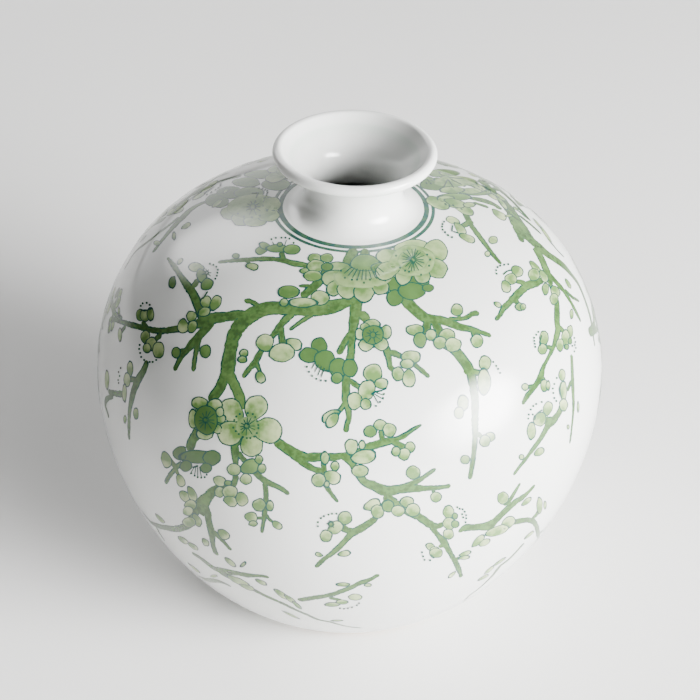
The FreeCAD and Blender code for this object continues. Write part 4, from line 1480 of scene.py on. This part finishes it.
def copies_of(name):
    """How far round the copies of a motif are, in degrees."""
    sides = [turns for bough, blossoms, turns in SIDE_SPRIGS if name == bough or name in blossoms]
    return (180, *(turn for turns in sides for turn in turns))


def on_back_too(points):
    """Whether a motif lies wholly within the part of the front that the back repeats."""
    return all(abs(math.degrees(math.atan2(point.x, -point.y))) < BACK_REACH for point in points)


def stroke_turned(run, turn):
    return [(turned_by(place, turn), half) for place, half in run]


def dab_turned(dab, turn):
    *places, lift, tone, seed, tip = dab
    return (*(turned_by(place, turn) for place in places), lift, tone, seed + turn, tip)


def with_copies(groups, places_of, turned):
    """The strokes or dabs of every motif, with the copies on the back and the sides."""
    kept = []
    for name, marks in groups:
        for turn in copies_of(name):
            for mark in marks:
                if turn % 180 or on_back_too(places_of(mark)):
                    kept.append(turned(mark, turn))
    return [mark for _, marks in groups for mark in marks] + kept


def strokes_all_round(groups):
    return with_copies(groups, lambda run: [place for place, _ in run], stroke_turned)


def dabs_all_round(groups):
    return with_copies(groups, lambda dab: dab[:1], dab_turned)


# Materials


class Surface(Graph):
    """A material's nodes, around one glossy or matt shader."""

    def __init__(self, name, ior=1.5):
        self.material = bpy.data.materials.new(name)
        self.material.use_nodes = True
        super().__init__(self.material.node_tree)
        self.shader = self.tree.nodes["Principled BSDF"]
        self.shader.inputs["IOR"].default_value = ior
        self.place = self.add("ShaderNodeTexCoord").outputs["Object"]
        self.height = self.parts(self.place)[2]

    def noise(self, scale, detail=3.0, place=None):
        sockets = {"Vector": place or self.place, "Scale": scale, "Detail": detail}
        return self.value("ShaderNodeTexNoise", sockets)

    def cells(self, scale):
        """How far each point is from the middle of its cell."""
        return self.value("ShaderNodeTexVoronoi", {"Vector": self.place, "Scale": scale})

    def attribute(self, name):
        node = self.add("ShaderNodeAttribute", attribute_name=name, attribute_type="GEOMETRY")
        return Value(self, node.outputs["Fac"])

    def bump(self, height, strength, distance):
        sockets = {"Height": height, "Strength": strength, "Distance": distance}
        self.feed("Normal", self.out("ShaderNodeBump", sockets))

    def feed(self, name, value):
        socket = value.socket if isinstance(value, Value) else value
        self.tree.links.new(socket, self.shader.inputs[name])


def shaded(colour, amount):
    """A colour made darker or lighter by a share."""
    return tuple(min(1.0, amount * part) for part in colour)


# A clear glaze: its least roughness and what drifting adds to it, and its faint waves
GLAZE_ROUGHNESS = 0.045
GLAZE_DRIFT = 0.05
LONG_WAVE = 0.6
SHORT_WAVE = 0.12
WAVE_STRENGTH = 0.12
WAVE_HEIGHT = 0.6 * MM


def under_glaze(surface):
    """The shine and the faint waves of a clear glaze."""
    surface.feed("Roughness", GLAZE_ROUGHNESS + surface.noise(22.0, 5.0) * GLAZE_DRIFT)
    wave = surface.noise(14.0, 2.0) * LONG_WAVE + surface.noise(45.0, 2.0) * SHORT_WAVE
    surface.bump(wave, WAVE_STRENGTH, WAVE_HEIGHT)


# Heights between which the painted shade and pooled glaze under the rolled rim begin and end,
# from the rim's underside, and between which the grey-green tint above the foot ends, from the
# table, and how much of that tint shows at the rim and the foot
RIM_SHADE_AND_POOL = (-4.0 * MM, 0.2 * MM)
RIM_SHADE_AND_POOL_END = (0.4 * MM, 2.0 * MM)
FOOT_TINT_END = (3.0 * MM, 7.5 * MM)
RIM_SHADE_AND_POOL_SHARE = 0.55
FOOT_TINT_SHARE = 0.5

# How much the clouds and the specks show in the white, and how dark each is
CLOUD_SHARE = 0.5
CLOUD_SHADE = 0.93
SPECK_SHARE = 0.35
SPECK_SHADE = 0.45


def white_glaze(colours, lines):
    """Porcelain under clear glaze, with painted shade and pooled glaze under the rim and a grey-green tint
    above the foot.
    """
    glaze = Surface("white_glaze")
    roll_low = lines.roll_centre[1] - lines.form.roll_diameter / 2
    # Painted shade and pooled glaze on the band under the rolled rim
    under_rim = glaze.height.rise(*(roll_low + part for part in RIM_SHADE_AND_POOL))
    past_rim = glaze.height.rise(*(roll_low + part for part in RIM_SHADE_AND_POOL_END))
    drift = 0.35 + glaze.noise(60.0) * 0.9
    grey_green_tint = (under_rim * (1.0 - past_rim) * drift).held()
    # A grey-green tint that grows towards the foot
    foot = 1.0 - glaze.height.rise(*FOOT_TINT_END)
    cloud = glaze.noise(9.0, 4.0).rise(0.35, 0.7)
    body = glaze.mix(cloud * CLOUD_SHARE, colours.white, shaded(colours.white, CLOUD_SHADE))
    speck = (1.0 - glaze.cells(260.0).rise(0.04, 0.10)) * glaze.noise(40.0).rise(0.60, 0.66)
    body = glaze.mix(speck * SPECK_SHARE, body, shaded(colours.white, SPECK_SHADE))
    # The grey-green tint laid on: painted shade and pooled glaze under the rim, darker towards the foot
    body = glaze.mix((grey_green_tint * RIM_SHADE_AND_POOL_SHARE).most(foot * FOOT_TINT_SHARE), body, colours.grey_green_tint)
    glaze.feed("Base Color", body)
    under_glaze(glaze)
    return glaze.material


# The bare body: how dark its stains are, how much its grain shows and how light that is,
# how rough the body is, what the grain adds to that, and how strong and deep it is
STAIN_SHADE = 0.55
GRAIN_SHARE = 0.5
GRAIN_SHADE = 1.5
BARE_ROUGHNESS = 0.70
GRAIN_ROUGHNESS = 0.25
GRAIN_STRENGTH = 0.5
GRAIN_DEPTH = 0.25 * MM


def bare_body(colours):
    """The fired body where it was wiped clean of glaze."""
    bare = Surface("bare_body", ior=1.45)
    grain = bare.noise(900.0, 4.0)
    stain = bare.noise(70.0, 4.0)
    shade = bare.mix(stain.rise(0.3, 0.75), colours.bare, shaded(colours.bare, STAIN_SHADE))
    lit = grain.rise(0.45, 0.7) * GRAIN_SHARE
    bare.feed("Base Color", bare.mix(lit, shade, shaded(colours.bare, GRAIN_SHADE)))
    bare.feed("Roughness", BARE_ROUGHNESS + grain * GRAIN_ROUGHNESS)
    bare.bump(grain, GRAIN_STRENGTH, GRAIN_DEPTH)
    return bare.material


# How dark the floor's clouds are, how rough it is, and what its noise adds to that
FLOOR_SHADE = 0.96
FLOOR_ROUGHNESS = 0.62
FLOOR_DRIFT = 0.2


def pale_floor(colours):
    """The plain ground, a little uneven in tone."""
    floor = Surface("pale_floor")
    cloud = floor.noise(1.7, 3.0)
    floor.feed("Base Color", floor.mix(cloud, colours.floor, shaded(colours.floor, FLOOR_SHADE)))
    floor.feed("Roughness", FLOOR_ROUGHNESS + floor.noise(60.0) * FLOOR_DRIFT)
    return floor.material


def glossy_paint(name):
    """Colour fired under the same clear glaze as the white."""
    paint = Surface(name)
    under_glaze(paint)
    return paint


def line_paint(colours, name="line_paint", green=0.35):
    """The dark blue-green drawn with a fine brush, thin and greener here and there."""
    paint = glossy_paint(name)
    thin = paint.noise(420.0, 3.0).rise(0.34, 0.66)
    paint.feed("Base Color", paint.mix(thin * green, colours.line, colours.leaf))
    return paint.material


# How much the heavy mottle, the thin pools and the dark flecks show in a branch's wash
MOTTLE_SHARE = 0.80
THIN_SHARE = 0.40
FLECK_SHARE = 0.45


def bough_paint(colours):
    """The green wash of the branches, mottled as the brush was lifted and set down."""
    paint = glossy_paint("bough_paint")
    mottle = paint.noise(420.0, 4.0)
    pool = paint.noise(75.0, 3.0)
    wash = paint.mix(mottle.rise(0.36, 0.64) * MOTTLE_SHARE, colours.leaf, colours.leaf_dark)
    wash = paint.mix(pool.rise(0.48, 0.70) * THIN_SHARE, wash, colours.leaf_light)
    fleck = (1.0 - paint.cells(700.0).rise(0.12, 0.30)) * paint.noise(330.0).rise(0.50, 0.58)
    paint.feed("Base Color", paint.mix(fleck * FLECK_SHARE, wash, colours.line))
    return paint.material


# A petal's wash: how green it is at the middle, how it pales towards the tip and the
# rim, how much the brush changes it, and from where on it is full green
MIDDLE_WASH = 0.72
TIP_FADE = 0.60
RIM_FADE = 0.20
BRUSH_SWING = 2.4
FULL_GREEN = 0.62

# The dark line round a petal is whole up to the first distance from the rim and gone
# past the second, both in millimetres, and the brush's grain adds to both
LINE_WHOLE = 0.30
LINE_GONE = 0.56
WHOLE_DRIFT = 0.24
GONE_DRIFT = 0.34


def petal_paint(colours):
    """Petals and buds: cream at the tip, green towards the base, and a fine dark edge."""
    paint = glossy_paint("petal_paint")
    u, v = paint.attribute("u"), paint.attribute("v")
    out = (u * u + v * v).root()
    tipward = u * paint.attribute("tip_u") + v * paint.attribute("tip_v")
    tone = paint.attribute("tone")
    seed = paint.attribute("seed")
    shift = paint.joined(seed, seed * 1.7, seed * 0.6)
    place = paint.vector("ADD", paint.vector("SCALE", paint.place, scale=1.0 / MM), shift)
    brush = paint.noise(0.16, 3.0, place)
    rim = out.rise(0.62, 0.95) * RIM_FADE
    wash = (MIDDLE_WASH - tipward * TIP_FADE + (brush - 0.5) * BRUSH_SWING - rim).held()
    light = paint.mix(wash, colours.cream, colours.leaf_light)
    light = paint.mix((wash - FULL_GREEN).held() * 1.3, light, colours.leaf)
    middle = paint.mix(wash, colours.leaf_light, colours.leaf)
    heavy = paint.mix((brush - 0.25).held(), colours.leaf, colours.leaf_dark)
    colour = paint.mix((tone * 2.0).held(), light, middle)
    colour = paint.mix((tone * 2.0 - 1.0).held(), colour, heavy)
    grain = paint.noise(1.2, 2.0, place)
    edge = (1.0 - out) * paint.attribute("breadth") / MM
    line = 1.0 - edge.rise(LINE_WHOLE + grain * WHOLE_DRIFT, LINE_GONE + grain * GONE_DRIFT)
    line = line * (0.72 + grain * 0.6) * paint.attribute("line")
    paint.feed("Base Color", paint.mix(line, colour, colours.line))
    return paint.material


# The operators, one for each piece or group of like pieces


class VaseOperator(bpy.types.Operator):
    """Base of the build steps."""

    bl_options = {"REGISTER", "UNDO"}

    def execute(self, context):
        scene = context.scene
        made = self.build(scene)
        if not made or not all(piece.data.polygons for piece in made):
            raise RuntimeError(f"{self.bl_label} made no faces")
        return {"FINISHED"}


def settle(piece, material, slot, *nodes):
    """Give a finished piece its material and its body, and hide the imported parts that it takes the place
    of.
    """
    piece.data.materials.clear()
    piece.data.materials.append(material)
    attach(piece, "root")
    if nodes:
        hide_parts(*nodes)
    return piece


class VASE_OT_glazed_forms(VaseOperator):
    """Turn the two bowls and the neck under their white glaze"""

    bl_idname = "vase.glazed_forms"
    bl_label = "Glazed forms"

    def build(self, scene):
        form = scene.vase_form
        lines = Lines(form, form.glaze_inset)
        glaze = white_glaze(scene.vase_colours, lines)
        tree = turned_tree()
        made = []
        for node, outline, spacing in (
            ("lower_body", lines.lower_body(), 2.4 * MM),
            ("upper_body", lines.upper_body(), 2.0 * MM),
            ("neck_and_mouth", lines.neck_and_mouth(), 0.45 * MM),
        ):
            piece = turn_outline(tree, f"{node}_glazed", outline, spacing, form.facets_round)
            made.append(settle(piece, glaze, "glazed_porcelain", node))
        return made


class VASE_OT_bare_foot(VaseOperator):
    """Turn the foot ring that the glaze leaves bare"""

    bl_idname = "vase.bare_foot"
    bl_label = "Bare foot"

    def build(self, scene):
        form = scene.vase_form
        outline = Lines(form).foot_ring()
        piece = turn_outline(turned_tree(), "foot_ring_bare", outline, 0.3 * MM, form.facets_round)
        return [settle(piece, bare_body(scene.vase_colours), "bare_porcelain", "foot_ring")]


class PaintOperator(VaseOperator):
    """Base of the steps that paint on the glaze."""

    def build(self, scene):
        painter = Painter(scene)
        made = self.lay_paint(painter, scene.vase_paint, scene.vase_colours)
        painter.done()
        return made


class VASE_OT_shoulder_rings(PaintOperator):
    """Draw the two rings round the foot of the neck"""

    bl_idname = "vase.shoulder_rings"
    bl_label = "Shoulder rings"

    POINTS_ROUND = 144

    def lay_paint(self, painter, paint, colours):
        points, edges, halves = [], [], []
        around = self.POINTS_ROUND
        sizes = ((paint.outer_ring, paint.outer_ring_width), (paint.inner_ring, paint.inner_ring_width))
        for radius, width in sizes:
            height = painter.lines.height_at(radius)
            start = len(points)
            for i in range(around):
                angle = 2 * math.pi * i / around
                points.append((radius * math.cos(angle), radius * math.sin(angle), height))
                edges.append((start + i, start + (i + 1) % around))
                halves.append(width / 2)
        numbers = {"half_width": halves, "lift": [paint.lowest_layer] * len(points)}
        seed = seed_object(points, edges, numbers)
        values = {"spacing": 1.0 * MM, "edge": 0.0, "wobble": paint.wobble * 0.5, "columns": 4}
        piece = painter.lay(stroke_tree(), seed, "shoulder_rings", line_paint(colours), **values)
        return [piece]


class VASE_OT_boughs(PaintOperator):
    """Paint the plum branches, first their dark edge and then the green wash"""

    bl_idname = "vase.boughs"
    bl_label = "Boughs"

    def lay_paint(self, painter, paint, colours):
        strokes = [(name, [painter.stroke(run) for run in runs]) for name, runs in BOUGHS.items()]
        strokes = strokes_all_round(strokes)
        tree = stroke_tree()
        made = []
        for name, layer, shrink, ragged, material in (
            ("bough_edges", 0, 0.0, 0.30 * MM, line_paint(colours, "edge_paint", 0.85)),
            ("bough_washes", 2, paint.outline_width, 0.0, bough_paint(colours)),
        ):
            seed = painter.stroke_seed(strokes, paint.lowest_layer + layer * paint.layer_step, shrink)
            values = {"spacing": 0.9 * MM, "edge": ragged, "wobble": paint.wobble, "columns": 5}
            made.append(painter.lay(tree, seed, name, material, **values))
        return made


class VASE_OT_blossoms(PaintOperator):
    """Paint the petals and buds, each over the ones before"""

    bl_idname = "vase.blossoms"
    bl_label = "Blossoms"

    # The lowest petal's layer, over those of the boughs, and the way that the tip of a
    # dab lies, along and across it, where a turn gives it and where nothing does
    FIRST_LAYER = 5
    TURNED_TIP = (1.0, 0.0)
    USUAL_TIP = (0.1, -0.7)

    # Petals nearer to the middle of their blossom than this have less of a tip
    NEAR_MIDDLE = 4.0 * MM

    # Steps of the noise from motif to motif and from dab to dab, so that none are alike
    MOTIF_SEED = 7.3
    DAB_SEED = 2.1

    def lay_paint(self, painter, paint, colours):
        groups = []
        for number, (name, marks) in enumerate(BLOSSOMS.items()):
            dabs = []
            for layer, (tone, *oval) in enumerate(marks["dabs"]):
                middle, *axes = painter.dab(*oval)
                axes = [axis * paint.petal_growth for axis in axes]
                tip = self.USUAL_TIP if len(oval) < 5 else self.TURNED_TIP
                if "middle" in marks:
                    way = painter.eye.spot(*marks["middle"]) - middle
                    apart = np.array([-way.dot(axis) / axis.length for axis in axes])
                    tip = tuple(apart / max(np.linalg.norm(apart), self.NEAR_MIDDLE))
                lift = paint.lowest_layer + (self.FIRST_LAYER + layer) * paint.layer_step
                seed = self.MOTIF_SEED * number + self.DAB_SEED * layer
                dabs.append((middle, *axes, lift, tone, seed, tip))
            groups.append((name, dabs))
        seed = painter.dab_seed(dabs_all_round(groups))
        tree = stamp_tree("painted_petals", sides=20, rings=3)
        wobble = 1.8 * paint.wobble
        piece = painter.lay(tree, seed, "petals_and_buds", petal_paint(colours), wobble=wobble)
        return [piece]


class VASE_OT_stamens(PaintOperator):
    """Draw the stamens and their dotted tips over the petals"""

    bl_idname = "vase.stamens"
    bl_label = "Stamens"

    # The stamens lie over the topmost petal, and a star's ring has this many points
    TOP_LAYER = 24
    RING_POINTS = 10

    # The radius of a dotted tip in pixels, and its tone
    DOT = 1.15
    DOT_TONE = (1.0, 0.0)

    def star(self, across, down, count, inner, outer, ring):
        """The strokes of one star of stamens: uneven rays and the small ring."""
        runs = []
        for i in range(count):
            angle = 2 * math.pi * (i + 0.2 * math.sin(5.0 * i)) / count
            reach = outer * (0.86 + 0.14 * math.sin(7.0 * i))
            east, south = math.cos(angle), math.sin(angle)
            runs.append([(across + r * east, down + r * south, 1.0) for r in (inner, reach)])
        turns = [2 * math.pi * i / self.RING_POINTS for i in range(self.RING_POINTS + 1)]
        runs.append([(across + ring * math.cos(t), down + ring * math.sin(t), 1.2) for t in turns])
        return runs

    def lay_paint(self, painter, paint, colours):
        top = paint.lowest_layer + self.TOP_LAYER * paint.layer_step
        hairs, tips = [], []
        for name, marks in BLOSSOMS.items():
            runs = list(marks.get("hairs", ()))
            for star in marks.get("stars", ()):
                runs += self.star(*star)
            hairs.append((name, [painter.stroke(run) for run in runs]))
            spots = [painter.dab(*place, self.DOT, self.DOT) for place in marks.get("dots", ())]
            dots = [(*spot, top, self.DOT_TONE, 1.3 * i, (0.0, 0.0)) for i, spot in enumerate(spots)]
            tips.append((name, dots))
        material = line_paint(colours)
        seed = painter.stroke_seed(strokes_all_round(hairs), top, 0.0)
        values = {"spacing": 0.45 * MM, "edge": 0.0, "wobble": paint.wobble, "columns": 3}
        made = [painter.lay(stroke_tree(), seed, "stamens", material, **values)]
        seed = painter.dab_seed(dabs_all_round(tips))
        tree = stamp_tree("painted_dots", sides=9, rings=1)
        made.append(painter.lay(tree, seed, "stamen_tips", material, wobble=paint.wobble))
        return made


def square(name, half, corners):
    """A flat square on the scene's origin, its corners walked in the order given."""
    mesh = bpy.data.meshes.new(name)
    places = [(-half, -half, 0), (half, -half, 0), (half, half, 0), (-half, half, 0)]
    mesh.from_pydata(places, [], [corners])
    return placed(name, mesh)


# The shares of a panel's half width between which its light fades out
PANEL_FADE = (0.25, 1.0)


def soft_panel(name, place, aim, width, strength):
    """A square of light that fades out towards its edges, aimed at a point."""
    half = width / 2
    panel = square(name, half, (0, 3, 2, 1))
    panel.location = place
    panel.rotation_euler = (Vector(aim) - Vector(place)).to_track_quat("-Z", "Y").to_euler()
    panel.visible_camera = False
    light = Surface(name)
    light.tree.nodes.remove(light.shader)
    glow = light.out("ShaderNodeEmission", {"Strength": strength})
    clear = light.out("ShaderNodeBsdfTransparent")
    out = light.vector("LENGTH", light.place) / half
    lit = 1.0 - out.rise(*PANEL_FADE)
    both = light.out("ShaderNodeMixShader", {0: lit, 1: clear, 2: glow})
    light.tree.links.new(both, light.tree.nodes["Material Output"].inputs["Surface"])
    panel.data.materials.append(light.material)
    return panel


class VASE_OT_stage(VaseOperator):
    """Set the pale floor, the soft studio light and the camera"""

    bl_idname = "vase.stage"
    bl_label = "Stage"

    # Half the floor's width, in metres
    FLOOR_HALF = 14.0

    # The room's light: how strong it is, the way to its bright side, the cosines
    # between which it brightens towards that, and its two tones
    ROOM_LIGHT = 0.10
    BRIGHT_SIDE = (0.80, -0.10, 0.59)
    BRIGHTENING = (-0.9, 0.9)
    ROOM_DARK = (0.03, 0.03, 0.035)
    ROOM_BRIGHT = (1.0, 1.0, 1.0)

    # The bright sweep behind the vase: the way to it, the cosines between which it
    # begins, and its tone
    BEHIND = (-0.12, 0.98, 0.16)
    SWEEP_EDGE = (0.62, 0.98)
    SWEEP = (20.0, 20.1, 20.3)

    # Each lamp's place, the point it is aimed at, its width and its strength
    LAMPS = {
        "key_panel": ((1.80, -0.95, 0.70), (0.0, 0.0, 0.12), 1.7, 98.0),
        "halo_panel": ((1.78, -1.49, 0.70), (0.0, 0.0, 0.12), 1.9, 43.0),
        "front_panel": ((0.95, -0.55, 1.85), (0.0, 0.0, 0.16), 1.5, 3.2),
        "back_panel": ((-1.3, 2.0, 1.6), (-0.2, 1.4, 0.0), 2.0, 8.0),
    }

    def build(self, scene):
        view = scene.vase_view
        floor = square("floor", self.FLOOR_HALF, (0, 1, 2, 3))
        floor.data.materials.append(pale_floor(scene.vase_colours))

        camera = bpy.data.cameras.new("camera")
        camera.sensor_width = view.sensor
        camera.lens = view.lens
        holder = placed("camera", camera)
        holder.matrix_world = camera_frame(view)
        scene.camera = holder

        world = bpy.data.worlds.new("studio")
        scene.world = world
        world.use_nodes = True
        sky = Graph(world.node_tree)
        ground = world.node_tree.nodes["Background"]
        ground.inputs["Strength"].default_value = self.ROOM_LIGHT
        way = sky.add("ShaderNodeTexCoord").outputs["Generated"]
        bright = sky.vector("DOT_PRODUCT", way, self.BRIGHT_SIDE).rise(*self.BRIGHTENING)
        behind = sky.vector("DOT_PRODUCT", way, self.BEHIND).rise(*self.SWEEP_EDGE)
        room = sky.mix(bright, self.ROOM_DARK, self.ROOM_BRIGHT)
        sweep = sky.mix(behind, room, self.SWEEP)
        sky.tree.links.new(sweep, ground.inputs["Color"])

        lamps = [soft_panel(name, *values) for name, values in self.LAMPS.items()]
        return [floor]


class VASE_PT_panel(bpy.types.Panel):
    """Lists the build steps in the sidebar"""

    bl_label = "Vase"
    bl_idname = "VASE_PT_panel"
    bl_space_type = "VIEW_3D"
    bl_region_type = "UI"
    bl_category = "Vase"

    def draw(self, context):
        for step in STEPS:
            self.layout.operator(step.bl_idname)


GROUPS = {
    "vase_form": VaseForm,
    "vase_paint": VasePaint,
    "vase_colours": VaseColours,
    "vase_view": VaseView,
}
STEPS = (
    VASE_OT_glazed_forms,
    VASE_OT_bare_foot,
    VASE_OT_shoulder_rings,
    VASE_OT_boughs,
    VASE_OT_blossoms,
    VASE_OT_stamens,
    VASE_OT_stage,
)


def register():
    for group in GROUPS.values():
        bpy.utils.register_class(group)
    for name, group in GROUPS.items():
        setattr(bpy.types.Scene, name, PointerProperty(type=group))
    for item in (*STEPS, VASE_PT_panel):
        bpy.utils.register_class(item)


def unregister():
    for item in (VASE_PT_panel, *reversed(STEPS)):
        bpy.utils.unregister_class(item)
    for name in reversed(GROUPS):
        delattr(bpy.types.Scene, name)
    for group in reversed(GROUPS.values()):
        bpy.utils.unregister_class(group)


def main():
    register()
    for step in STEPS:
        area, _, name = step.bl_idname.partition(".")
        getattr(getattr(bpy.ops, area), name)()


if __name__ == "__main__":
    main()
